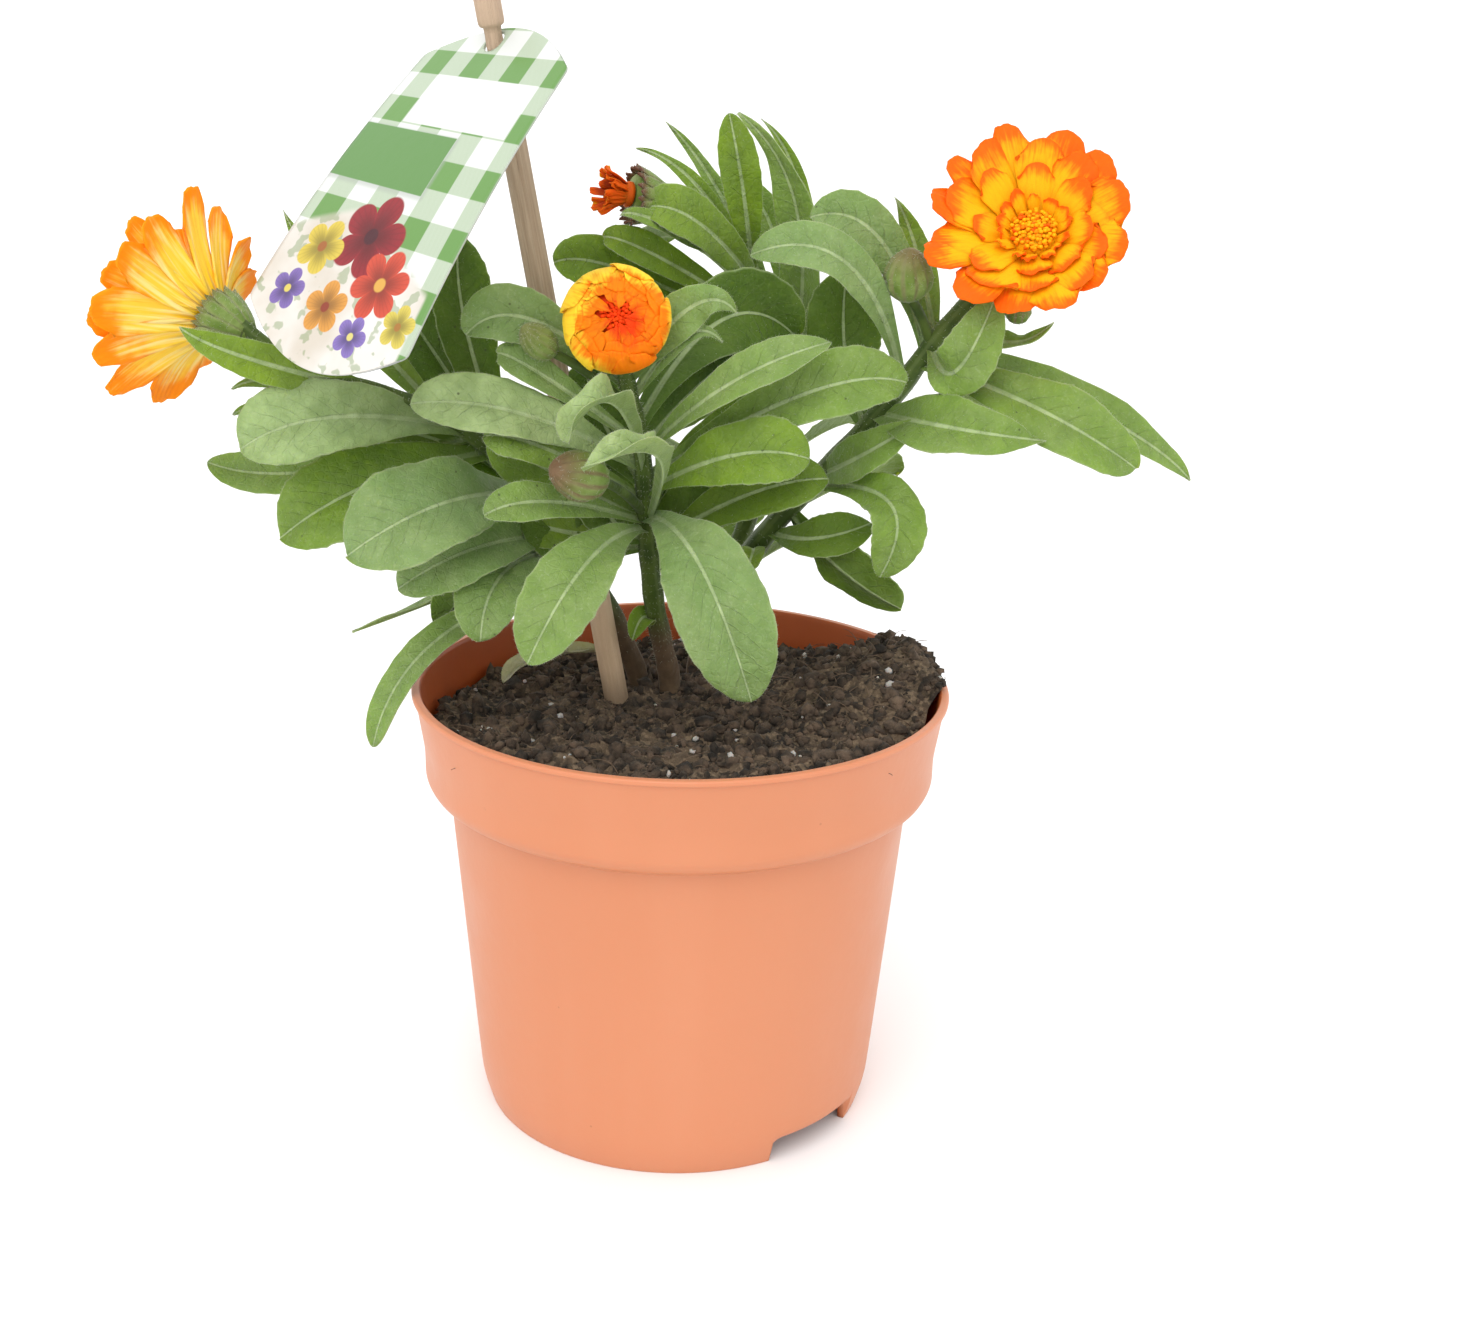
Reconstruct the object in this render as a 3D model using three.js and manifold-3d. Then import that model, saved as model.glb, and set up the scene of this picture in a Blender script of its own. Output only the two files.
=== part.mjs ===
// Potted calendula: a moulded nursery pot of peat, one branching plant with three open blooms and
// five buds, a wooden stake and the printed card that hangs on it.
// Millimetres, +Z up, the front towards -Y. Everything is placed from the pot's own axis, and the
// group is then moved so that the middle of the whole object's footprint is the origin.
import * as THREE from "three";
import { mergeVertices } from "three/addons/utils/BufferGeometryUtils.js";
import Module from "manifold-3d";

const wasm = await Module();
wasm.setup();

const GAP = 0.35; // clearance between two pieces that touch on the real thing
const SLIVER = 0.02; // edges shorter than this, left by the joining, are closed up

// Pot
const POT_HEIGHT = 108;
const RIM_RADIUS = 65;
const SHOULDER_RADIUS = 56.2; // body just under the collar
const SHOULDER_HEIGHT = 82;
const FOOT_RADIUS = 47.3;
const WALL = 1.3;
const BASE_TOP = 9;
const BASE_THICKNESS = 1.4;
const POT_SIDES = 32;
const NOTCH_AZIMUTHS = [-43.5, 136.5]; // drainage notches in the foot ring, in degrees from +X
const NOTCH_WIDTH = 28;
const NOTCH_HEIGHT = 5.5;
const NOTCH_CORNER = 3.2;
const DRAIN_COUNT = 6;
const DRAIN_RADIUS = 3;
const DRAIN_CIRCLE = 33;

// Peat
const PEAT_SIDES = 26;
const PEAT_LEVEL = 99.5;
const HEAP = { x: 56, y: 13, height: 11, spread: 26 }; // the heap that spills over the rim on the right
const SPILL_RADIUS = 64.6;
const SPILL_LIFT = 0.8; // of the heap's underside over the rim

// Stake
const STAKE_RADIUS = 3;
const STAKE_FOOT = new THREE.Vector3(-5.8, 13, 42);
const STAKE_TOP = new THREE.Vector3(-45.5, -2, 269);
const NECK_RADIUS = 2;
const NECK_BELOW_TOP = 12.5;

// Card: a sheet from its hole down, flat at first and then bent and twisted a little
const CARD_THICKNESS = 0.7;
const CARD_ACROSS = new THREE.Vector3(0.6312, -0.7755, 0.017).normalize();
const CARD_UP = new THREE.Vector3(0.5421, 0.4567, 0.7054).normalize();
const CARD_LEFT = -22.2;
const CARD_RIGHT = 31.8;
const CARD_TOP = 4.1; // of the side edges, below the hole
const CARD_BOTTOM = 75.6;
const CARD_TOP_BOW = 8.4;
const CARD_BOTTOM_BOW = 9.3;
const CARD_CORNER = 1.6;
const CARD_FLAT_LENGTH = 12;
const CARD_BEND = THREE.MathUtils.degToRad(9.7) / 58; // a mm
const CARD_TWIST = THREE.MathUtils.degToRad(-9.8) / 70; // a mm
const CARD_HOLE_RADIUS = 2.9;

// Stems: the points that each passes, from the peat up, and its radius at the foot and the end
const STEM_SIDES = 6;
const STEM_FOOT_DEPTH = 14;
const STEMS = {
  left: {
    points: [[-11, 25, 101], [-20, 23, 122], [-35, 16, 146], [-50, 8, 166], [-68, 0, 177], [-88, -6, 184], [-101, -6, 194]],
    radii: [2.6, 1.7],
  },
  front: {
    points: [[-3, 18, 103], [-7, 10, 125], [-9, 0, 148], [-10, -8, 167], [-13, -12, 182], [-15.5, -16, 194]],
    radii: [2.7, 1.7],
  },
  back: {
    points: [[6, 45, 104], [13, 46, 126], [22, 45, 155], [26, 42, 179], [19, 38, 195], [8, 32, 209], [-3, 27, 217]],
    radii: [2.5, 1.6],
  },
  right: {
    points: [[4, 31, 102], [11, 22, 125], [23, 12, 146], [37, 8, 163], [48, 5, 177], [58, 4, 192], [68, 5, 203], [78, 3, 209]],
    radii: [2.9, 2],
  },
};

// Leaves: share of the stem, middle and tip of the midrib, width, the way the upper face looks, outline
const FRONT = [0, -0.85, 0.5];
const FACING = [0, -1, 0.25];
const SKY = [0, -0.45, 0.9];
const BEHIND = [0, 0.6, 0.8];
const UNDER = [0, 0.75, 0.55];
const SPOON = { widest: 0.64, base: 0.2, rise: 1.7, blunt: 2.4, round: 0.6, tip: 0.4 };
const LANCE = { widest: 0.38, base: 0.3, rise: 1.2, blunt: 1.5, round: 0.95, tip: 0.14 };
const LEAVES = {
  left: [
    [0.52, [-80, -10, 174], [-101, -14, 167], 20, FRONT, SPOON],
    [0.46, [-73, -4, 157], [-94, -8, 144.5], 21, FRONT, SPOON],
    [0.5, [-90, 14, 155], [-115, 14, 157], 11, FRONT, SPOON],
    [0.65, [-92, 2, 180], [-106, 4, 177], 6, FRONT, LANCE],
    [0.64, [-93, 6, 174], [-107, 8, 170], 6, FRONT, LANCE],
    [0.7, [-99, -13, 188], [-113, -15, 195], 9.5, FACING, LANCE],
    [0.36, [-54, -20, 157], [-75, -30, 147], 24, FRONT, SPOON],
    [0.28, [-47, -14, 145], [-65, -22, 137], 16, FRONT, SPOON],
    [0.27, [-56, 12, 126], [-81, 10, 116], 9, [-0.5, 0.2, 1], LANCE],
    [0.26, [-46, 8, 133], [-59, 4, 119], 14, UNDER, SPOON],
    [0.25, [-41, -12, 139], [-46, -26, 126], 17, FRONT, SPOON],
    [0.2, [-57, -4, 120], [-73, -14, 95], 9.5, [-0.3, -0.7, 0.7], SPOON],
    [0.39, [-58, 10, 164], [-74, 12, 166], 14, FRONT, SPOON],
    [0.39, [-52, 16, 188], [-54, 18, 212], 15, [0.3, -1, 0.2], SPOON],
    [0.42, [-58, 16, 181], [-69, 19, 196], 16, [0.3, -1, 0.2], SPOON],
    [0.56, [-82, 20, 195], [-96, 24, 216], 8, FACING, LANCE],
    [0.3, [-46, 26, 156], [-62, 44, 152], 18, BEHIND, SPOON],
    [0.16, [-30, 38, 128], [-46, 54, 122], 18, BEHIND, SPOON],
    [0.46, [-62, 26, 178], [-76, 40, 184], 15, BEHIND, SPOON],
  ],
  front: [
    [0.55, [-37, -20, 178], [-61, -24, 180.5], 14, FRONT, SPOON],
    [0.38, [-22, -30, 147], [-36, -44, 128], 21.5, FRONT, SPOON],
    [0.81, [-35, -14, 198], [-49, -18, 195], 14, FRONT, SPOON],
    [0.62, [-32, -17, 186], [-42, -18, 191], 8, FRONT, SPOON],
    [0.53, [-16, -34, 188], [-28, -40, 179], 12, SKY, SPOON],
    [0.39, [-4, -32, 175.5], [-24, -44, 174.5], 11, SKY, SPOON],
    [0.46, [-32, -19, 170], [-45, -22, 173], 10.5, FRONT, SPOON],
    [0.4, [-30, -25, 159], [-44, -34, 158], 9.5, FRONT, SPOON],
    [0.41, [3, -28, 147], [16, -36, 116], 25, FRONT, SPOON],
    [0.48, [11, -19, 169], [28, -21, 169], 16.5, FRONT, SPOON],
    [0.33, [14, -9, 157], [33, -11, 162], 13.5, FRONT, SPOON],
    [0.58, [9, -20, 185], [32, -18, 195], 11, [0, -0.7, 0.75], SPOON],
    [0.51, [26, -14, 182], [50, -12, 185], 16, FRONT, SPOON],
    [0.68, [8, 7, 195], [26, 14, 190], 21, FACING, SPOON],
    [0.84, [1, -16, 202], [11, -18, 201], 10.5, FACING, LANCE],
    [0.76, [-1, -15, 195], [8, -15, 194], 5, FACING, LANCE],
    [0.6, [1, 4, 178], [14, 10, 188], 17, FRONT, SPOON],
    [0.46, [8, -3, 170], [26, 0, 176], 12, FRONT, SPOON],
  ],
  back: [
    [0.61, [4, 22, 214], [-11, 18, 219], 12.5, FRONT, SPOON],
    [0.76, [-7, 17, 216], [-16, 12, 218], 5.5, FRONT, LANCE],
    [0.51, [-12, 26, 202], [-32, 24, 205], 13, FACING, SPOON],
    [0.56, [-5, 22, 206], [-20, 19, 212], 9, FRONT, SPOON],
    [0.72, [2, 36, 222], [-13, 36, 231], 4.8, FRONT, LANCE],
    [0.61, [8, 40, 219], [-6, 40, 237], 5.5, FRONT, LANCE],
    [0.36, [27, 24, 212], [11, 22, 241], 13, [-0.6, -0.8, 0], LANCE],
    [0.46, [28, 44, 215], [17, 42, 238], 6.5, FACING, LANCE],
    [0.53, [21, 48, 210], [11, 48, 221], 8, FACING, SPOON],
    [0.15, [16, 62, 134], [22, 84, 130], 20, BEHIND, SPOON],
    [0.26, [0, 60, 150], [-18, 76, 150], 19, BEHIND, SPOON],
    [0.3, [38, 60, 158], [52, 76, 156], 19, BEHIND, SPOON],
    [0.46, [20, 62, 188], [17, 82, 192], 17, BEHIND, SPOON],
    [0.58, [2, 50, 206], [-10, 64, 204], 13, BEHIND, SPOON],
    [0.72, [13, 27, 221], [9, 26, 240.5], 10, FACING, SPOON],
  ],
  right: [
    [0.61, [36, -6, 210.5], [14, -5, 212], 11.5, FRONT, SPOON],
    [0.68, [44, 8, 214.5], [28, 8, 219], 12.5, FRONT, SPOON],
    [0.71, [54, 18, 210], [48, 16, 223], 7.5, FACING, LANCE],
    [0.7, [61, -12, 188], [69, -12, 205], 13.5, FACING, SPOON],
    [0.54, [62, -19, 176], [81, -20, 174], 15.5, FRONT, LANCE],
    [0.38, [43, -4, 167], [56, -8, 177], 11, FRONT, LANCE],
    [0.66, [80, -14, 180], [103, -16, 167], 16, FRONT, SPOON],
    [0.7, [99.5, 8, 173.5], [121, 6, 159], 12, FRONT, LANCE],
    [0.78, [74, -3, 193], [84, -3, 198], 6.5, SKY, LANCE],
    [0.36, [47.8, -10, 156], [46, -12, 139], 14, [0.25, -0.9, 0.3], SPOON],
    [0.31, [37, 4, 137], [53, 2, 127], 15.5, UNDER, SPOON],
    [0.26, [31, 2, 144], [45, 6, 147], 11, FRONT, SPOON],
    [0.2, [17, 9, 139], [15, 5, 134], 6, SKY, SPOON],
    [0.3, [42, 32, 151], [54, 44, 150], 17, BEHIND, SPOON],
    [0.45, [60, 26, 172], [80, 36, 168], 15, BEHIND, SPOON],
    [0.17, [30, 38, 134], [46, 52, 130], 16, BEHIND, SPOON],
    [0.66, [72, 22, 198], [80, 38, 200], 12, BEHIND, SPOON],
    [0.5, [38, 19, 186], [38, 22, 205], 19, FACING, SPOON],
  ],
};
const LEAF_STATIONS = [0, 0.24, 0.48, 0.7, 0.9, 1];
const SMALL_LEAF_STATIONS = [0, 0.35, 0.72, 1];
const SMALL_LEAF_WIDTH = 12.2;
const LEAF_THICKNESS = 0.75;
const RIB_DEPTH = 0.5; // the midrib stands this far out of the underside at the leaf's foot
const LEAF_FOLD = THREE.MathUtils.degToRad(13);
const WAVE_HEIGHT = 0.05; // of the leaf's width
const WAVES = 2.2;

// Blooms: the middle of the green cup's mouth, the way each looks, how many petals stand in each row
// from the outermost in, the share by which petals towards its side and its top are longer, and the
// sizes of the outermost and the innermost row: radius and height where a petal starts, its length
// and width, and its rise over the bloom's face at its foot and at its tip, in degrees.
const BLOOMS = {
  left: {
    mouth: [-107.5, -1, 194.5],
    axis: [-0.8, 0.5, 0.27],
    cup: 6.2,
    rows: [12, 10],
    longer: [0, 0],
    outer: { start: 4.4, height: 0.9, length: 24.8, width: 7, foot: 46, tip: 18 },
    inner: { start: 3, height: 2.4, length: 22.5, width: 6.4, foot: 58, tip: 34 },
  },
  front: {
    mouth: [-15.6, -18.5, 196.5],
    axis: [0, -0.82, 0.57],
    cup: 6,
    rows: [7, 6, 5, 3],
    longer: [0, 0],
    outer: { start: 4.4, height: 0.9, length: 16, width: 9.4, foot: 0, tip: 140 },
    inner: { start: 1.4, height: 4.2, length: 9.5, width: 5.4, foot: 70, tip: 112 },
  },
  right: {
    mouth: [78.3, -1.5, 215.5],
    axis: [-0.14, -0.78, 0.61],
    cup: 6.4,
    rows: [11, 9, 7, 5, 3],
    longer: [-0.08, 0.04],
    outer: { start: 4.8, height: 0.9, length: 22.5, width: 9, foot: 40, tip: 16 },
    inner: { start: 1.6, height: 5, length: 8.5, width: 4.8, foot: 82, tip: 62 },
  },
};
const PETAL_STATIONS = [0, 0.65, 1];
const PETAL_WIDTHS = [0.34, 1, 0.78]; // of the petal's width, at its stations
const PETAL_NOTCH = 1;
const PETAL_THICKNESS = 0.65;
const PETAL_FOLD = THREE.MathUtils.degToRad(6);
const PETAL_ROLL = THREE.MathUtils.degToRad(8); // lays each petal's edge over its neighbour's
const CUP_LENGTH = 9;
const BRACT_COUNT = 10;

// Buds: the stem that carries each, the share of it where its stalk leaves, foot, tip and radius
const BUDS = [
  { stem: "right", share: 0.7, foot: [50, -1, 202], tip: [50.5, -3, 214], radius: 6 },
  { stem: "right", share: 0.86, foot: [75, -3, 198], tip: [76, -6, 204], radius: 3.2 },
  { stem: "front", share: 0.42, foot: [-17, -24, 163], tip: [-29, -31, 167], radius: 5 },
  { stem: "front", share: 0.72, foot: [-30, -17, 191], tip: [-36, -23, 198], radius: 4 },
];
const BUD_RIBS = 6;
// The bud whose first petals show stands on the end of the back stem
const OPENING_BUD = { mouth: [-13.5, 22.5, 221.5], axis: [-0.9, -0.34, 0.18], cup: 5.8, length: 11 };
const OPENING_PETALS = 7;

const vector = (p) => new THREE.Vector3(...p);

// A repeatable draw between -1 and 1 for the k-th repeat
function jitter(k) {
  const s = Math.sin(k * 12.9898 + 4.1414) * 43758.5453;
  return 2 * (s - Math.floor(s)) - 1;
}

function meshData(vertices, triangles) {
  return new wasm.Mesh({
    numProp: 3,
    vertProperties: new Float32Array(vertices.flatMap((v) => [v.x, v.y, v.z])),
    triVerts: new Uint32Array(triangles.flat()),
  });
}

// A closed solid from rings with the same number of points. The second half of each ring is split
// the other way round, so that a waved blade's two faces fold alike.
function loft(rings) {
  const n = rings[0].length;
  const triangles = [];
  for (let k = 0; k + 1 < rings.length; k++)
    for (let i = 0; i < n; i++) {
      const a = k * n + i;
      const b = k * n + ((i + 1) % n);
      const c = b + n;
      const d = a + n;
      if (i < n / 2) triangles.push([a, b, c], [a, c, d]);
      else triangles.push([a, b, d], [b, c, d]);
    }
  const last = (rings.length - 1) * n;
  for (let i = 0; i < n / 2 - 1; i++) {
    const [left, right] = [n - 1 - i, n - 2 - i];
    triangles.push([i, right, i + 1], [i, left, right]);
    triangles.push([last + i, last + i + 1, last + right], [last + i, last + right, last + left]);
  }
  const vertices = rings.flat();
  const made = new wasm.Manifold(meshData(vertices, triangles.filter((t) => new Set(t).size === 3)));
  if (made.volume() > 0) return made;
  return new wasm.Manifold(meshData(vertices, triangles.filter((t) => new Set(t).size === 3).map((t) => t.reverse())));
}

// A closed three.js geometry as a solid that can be cut and joined, without its empty triangles
function solidOf(geometry) {
  geometry.deleteAttribute("normal");
  geometry.deleteAttribute("uv");
  const merged = mergeVertices(geometry, 1e-4);
  const index = merged.index.array;
  const triangles = [];
  for (let i = 0; i < index.length; i += 3) {
    const [a, b, c] = index.slice(i, i + 3);
    if (a !== b && b !== c && c !== a) triangles.push(a, b, c);
  }
  return new wasm.Manifold(
    new wasm.Mesh({
      numProp: 3,
      vertProperties: merged.attributes.position.array,
      triVerts: new Uint32Array(triangles),
    }),
  );
}

function joined(solids) {
  let list = solids;
  while (list.length > 1) {
    const next = [];
    for (let i = 0; i < list.length; i += 2) next.push(i + 1 < list.length ? list[i].add(list[i + 1]) : list[i]);
    list = next;
  }
  return list[0];
}

// The outer skin of the largest body: it fills hollows that the joining sealed
function filled(solid) {
  return solid.decompose().reduce((best, body) => (body.volume() > best.volume() ? body : best));
}

function meshOf(name, solid, color, roughness) {
  const data = filled(solid).simplify(SLIVER).getMesh();
  const geometry = new THREE.BufferGeometry();
  geometry.setAttribute("position", new THREE.BufferAttribute(data.vertProperties, 3));
  geometry.setIndex(new THREE.BufferAttribute(data.triVerts, 1));
  geometry.computeVertexNormals();
  const mesh = new THREE.Mesh(geometry, new THREE.MeshStandardMaterial({ color, roughness, metalness: 0 }));
  mesh.name = name;
  return mesh;
}

// Pot

const bodyRadius = (z) => FOOT_RADIUS + 2.7 + ((z - 14) * (SHOULDER_RADIUS - FOOT_RADIUS - 2.7)) / (SHOULDER_HEIGHT - 14);

function potProfile() {
  const top = POT_HEIGHT;
  const outer = [
    [FOOT_RADIUS, 0],
    [FOOT_RADIUS + 1.9, 6],
    [FOOT_RADIUS + 2.7, 14],
    [SHOULDER_RADIUS, SHOULDER_HEIGHT],
    [RIM_RADIUS - 4.2, top - 23.6],
    [RIM_RADIUS - 3, top - 21.4],
    [RIM_RADIUS - 3, top - 15],
    [RIM_RADIUS - 0.8, top - 1.5],
    [RIM_RADIUS, top - 1.3],
    [RIM_RADIUS, top - 0.3],
    [RIM_RADIUS - 0.4, top],
  ];
  const inner = [
    [RIM_RADIUS - 1.9, top],
    [RIM_RADIUS - 2.3, top - 0.8],
    [RIM_RADIUS - 3 - WALL, top - 15],
    [RIM_RADIUS - 3 - WALL, top - 21],
    [RIM_RADIUS - 4.4 - WALL, top - 22.4],
    [SHOULDER_RADIUS - WALL, SHOULDER_HEIGHT + 1],
    [bodyRadius(BASE_TOP + 5) - WALL, BASE_TOP + 5],
    [bodyRadius(BASE_TOP) - WALL - 1.2, BASE_TOP],
    [0, BASE_TOP],
    [0, BASE_TOP - BASE_THICKNESS],
    [FOOT_RADIUS - 0.9, BASE_TOP - BASE_THICKNESS],
    [FOOT_RADIUS - 1.6, 0],
  ];
  return [...outer, ...inner, outer[0]];
}

function notchCutter(azimuth) {
  const half = NOTCH_WIDTH / 2;
  const shape = new THREE.Shape();
  shape.moveTo(-half, -1);
  shape.lineTo(half, -1);
  shape.lineTo(half, NOTCH_HEIGHT - NOTCH_CORNER);
  shape.absarc(half - NOTCH_CORNER, NOTCH_HEIGHT - NOTCH_CORNER, NOTCH_CORNER, 0, Math.PI / 2, false);
  shape.lineTo(-half + NOTCH_CORNER, NOTCH_HEIGHT);
  shape.absarc(-half + NOTCH_CORNER, NOTCH_HEIGHT - NOTCH_CORNER, NOTCH_CORNER, Math.PI / 2, Math.PI, false);
  const geometry = new THREE.ExtrudeGeometry(shape, { depth: 16, bevelEnabled: false, curveSegments: 3 });
  geometry.translate(0, 0, FOOT_RADIUS - 12);
  geometry.rotateX(Math.PI / 2);
  geometry.rotateZ(THREE.MathUtils.degToRad(azimuth) + Math.PI / 2);
  return solidOf(geometry);
}

function drainCutter(k) {
  const angle = (2 * Math.PI * k) / DRAIN_COUNT;
  const geometry = new THREE.CylinderGeometry(DRAIN_RADIUS, DRAIN_RADIUS, 3 * BASE_THICKNESS, 8);
  geometry.rotateX(Math.PI / 2);
  geometry.translate(DRAIN_CIRCLE * Math.cos(angle), DRAIN_CIRCLE * Math.sin(angle), BASE_TOP - BASE_THICKNESS / 2);
  return solidOf(geometry);
}

function pot() {
  const profile = potProfile().map(([r, z]) => new THREE.Vector2(r, z));
  const geometry = new THREE.LatheGeometry(profile, POT_SIDES);
  geometry.rotateX(Math.PI / 2);
  let solid = solidOf(geometry);
  const cutters = NOTCH_AZIMUTHS.map(notchCutter);
  for (let k = 0; k < DRAIN_COUNT; k++) cutters.push(drainCutter(k));
  for (const cutter of cutters) solid = solid.subtract(cutter);
  return solid;
}

// Peat

function heapAt(x, y) {
  const away = ((x - HEAP.x) ** 2 + (y - HEAP.y) ** 2) / HEAP.spread ** 2;
  return Math.exp(-away);
}

function peatTop(x, y) {
  const lumps = 0.7 * Math.sin(0.31 * x + 1.3) * Math.cos(0.27 * y) + 0.6 * Math.sin(0.17 * x - 0.23 * y);
  return PEAT_LEVEL + 0.03 * x + HEAP.height * heapAt(x, y) + lumps;
}

// A steeper share of the heap, 1 where it lies on the rim and 0 where the peat stays inside the pot
function spillAt(angle) {
  const share = heapAt(HEAP.x * Math.cos(angle), HEAP.x * Math.sin(angle));
  return THREE.MathUtils.smoothstep(share, 0.45, 0.8);
}

function peat() {
  const inside = RIM_RADIUS - 3 - WALL - GAP - 0.35;
  const ring = (place) =>
    Array.from({ length: PEAT_SIDES }, (_, i) => {
      const angle = (2 * Math.PI * i) / PEAT_SIDES;
      const [r, z] = place(angle);
      return new THREE.Vector3(r * Math.cos(angle), r * Math.sin(angle), z);
    });
  const surface = (radius) => (angle) => [radius, peatTop(radius * Math.cos(angle), radius * Math.sin(angle))];
  const rings = [
    ring(() => [4, BASE_TOP + GAP]),
    ring(() => [bodyRadius(BASE_TOP) - WALL - 2.6, BASE_TOP + GAP]),
    ring(() => [bodyRadius(BASE_TOP + 5) - WALL - GAP - 0.35, BASE_TOP + 5]),
    ring(() => [SHOULDER_RADIUS - WALL - GAP - 0.5, SHOULDER_HEIGHT + 0.8]),
    ring(() => [inside - 2, POT_HEIGHT - 21.2]),
    ring((angle) => [inside, Math.min(POT_HEIGHT - 12, surface(inside)(angle)[1] - 1)]),
    ring((angle) => {
      const spill = spillAt(angle);
      return [inside + 0.6 * spill, THREE.MathUtils.lerp(surface(inside)(angle)[1], POT_HEIGHT + SPILL_LIFT, spill)];
    }),
    ring((angle) => {
      const spill = spillAt(angle);
      const inner = surface(inside - 1.5)(angle);
      return [
        THREE.MathUtils.lerp(inner[0], SPILL_RADIUS, spill),
        THREE.MathUtils.lerp(inner[1], POT_HEIGHT + SPILL_LIFT, spill),
      ];
    }),
    ring((angle) => {
      const spill = spillAt(angle);
      const radius = THREE.MathUtils.lerp(inside - 5, SPILL_RADIUS - 2.5, spill);
      return [radius, surface(radius)(angle)[1] + 0.8 * spill];
    }),
    ...[49, 37, 24, 10].map((radius) => ring(surface(radius))),
  ];
  let solid = loft(rings);
  for (const name of Object.keys(STEMS)) solid = solid.subtract(stemHole(name));
  return solid.subtract(stakeHole());
}

function stemHole(name) {
  const foot = STEMS[name].points[0];
  const radius = (STEMS[name].radii[0] + GAP) / Math.cos(Math.PI / 10);
  const geometry = new THREE.CylinderGeometry(radius, radius, STEM_FOOT_DEPTH + 20, 10);
  geometry.rotateX(Math.PI / 2);
  geometry.translate(foot[0], foot[1], foot[2] - STEM_FOOT_DEPTH - GAP + (STEM_FOOT_DEPTH + 20) / 2);
  return solidOf(geometry);
}

// Stake

const stakeAxis = STAKE_TOP.clone().sub(STAKE_FOOT).normalize();
const stakeTurn = new THREE.Quaternion().setFromUnitVectors(new THREE.Vector3(0, 1, 0), stakeAxis);

function stakeHole() {
  const length = STAKE_TOP.distanceTo(STAKE_FOOT);
  const radius = (STAKE_RADIUS + GAP) / Math.cos(Math.PI / 12);
  const geometry = new THREE.CylinderGeometry(radius, radius, length, 12);
  geometry.translate(0, length / 2 - GAP, 0);
  geometry.applyQuaternion(stakeTurn);
  geometry.translate(...STAKE_FOOT.toArray());
  return solidOf(geometry);
}

function stake() {
  const length = STAKE_TOP.distanceTo(STAKE_FOOT);
  const neck = length - NECK_BELOW_TOP;
  const profile = [
    [0, 0],
    [STAKE_RADIUS - 0.6, 0],
    [STAKE_RADIUS, 0.8],
    [STAKE_RADIUS, neck - 5],
    [NECK_RADIUS, neck - 3.6],
    [NECK_RADIUS, neck + 3.4],
    [STAKE_RADIUS, neck + 4.4],
    [STAKE_RADIUS, length - 1],
    [STAKE_RADIUS - 0.9, length],
    [0, length],
  ].map(([r, z]) => new THREE.Vector2(r, z));
  const geometry = new THREE.LatheGeometry(profile, 16);
  geometry.applyQuaternion(stakeTurn);
  geometry.translate(...STAKE_FOOT.toArray());
  return solidOf(geometry);
}

// Card

const cardNormal = CARD_ACROSS.clone().cross(CARD_UP).normalize();
const cardHole = STAKE_TOP.clone().addScaledVector(stakeAxis, -NECK_BELOW_TOP);

// The point at a distance across the card, down from its hole and out of its middle sheet
function onCard(across, down, out) {
  const bent = Math.max(down - CARD_FLAT_LENGTH, 0);
  const bend = CARD_BEND * bent;
  const twist = CARD_TWIST * down;
  const fall = down - bent + Math.sin(bend) / CARD_BEND;
  const back = (1 - Math.cos(bend)) / CARD_BEND;
  return cardHole
    .clone()
    .addScaledVector(CARD_ACROSS, across * Math.cos(twist) - out * Math.sin(twist))
    .addScaledVector(cardNormal, across * Math.sin(twist) + out * Math.cos(twist) * Math.cos(bend) - back)
    .addScaledVector(CARD_UP, -fall - out * Math.cos(twist) * Math.sin(bend));
}

function card() {
  const rows = [0, 0.03, 0.2, 0.4, 0.6, 0.8, 0.97, 1];
  const columns = [0, 0.12, 0.3, 0.5, 0.7, 0.88, 1];
  const rings = rows.map((row) => {
    const corner = row === 0 || row === 1 ? CARD_CORNER : 0;
    const line = (side) =>
      columns.map((column) => {
        const bow = 4 * column * (1 - column);
        const across = THREE.MathUtils.lerp(CARD_LEFT + corner, CARD_RIGHT - corner, column);
        const top = CARD_TOP - CARD_TOP_BOW * bow;
        const bottom = CARD_BOTTOM + CARD_BOTTOM_BOW * bow;
        return onCard(across, THREE.MathUtils.lerp(top, bottom, row), (side * CARD_THICKNESS) / 2);
      });
    return [...line(1), ...line(-1).reverse()];
  });
  const hole = new THREE.CylinderGeometry(CARD_HOLE_RADIUS, CARD_HOLE_RADIUS, 8, 12);
  hole.applyQuaternion(new THREE.Quaternion().setFromUnitVectors(new THREE.Vector3(0, 1, 0), cardNormal));
  hole.translate(...cardHole.toArray());
  return loft(rings).subtract(solidOf(hole));
}

// Stems

const stemCurves = Object.fromEntries(
  Object.entries(STEMS).map(([name, stem]) => [
    name,
    new THREE.CatmullRomCurve3(stem.points.map(vector), false, "catmullrom", 0.5),
  ]),
);

const stemAt = (name, share) => stemCurves[name].getPoint(share);

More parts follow.
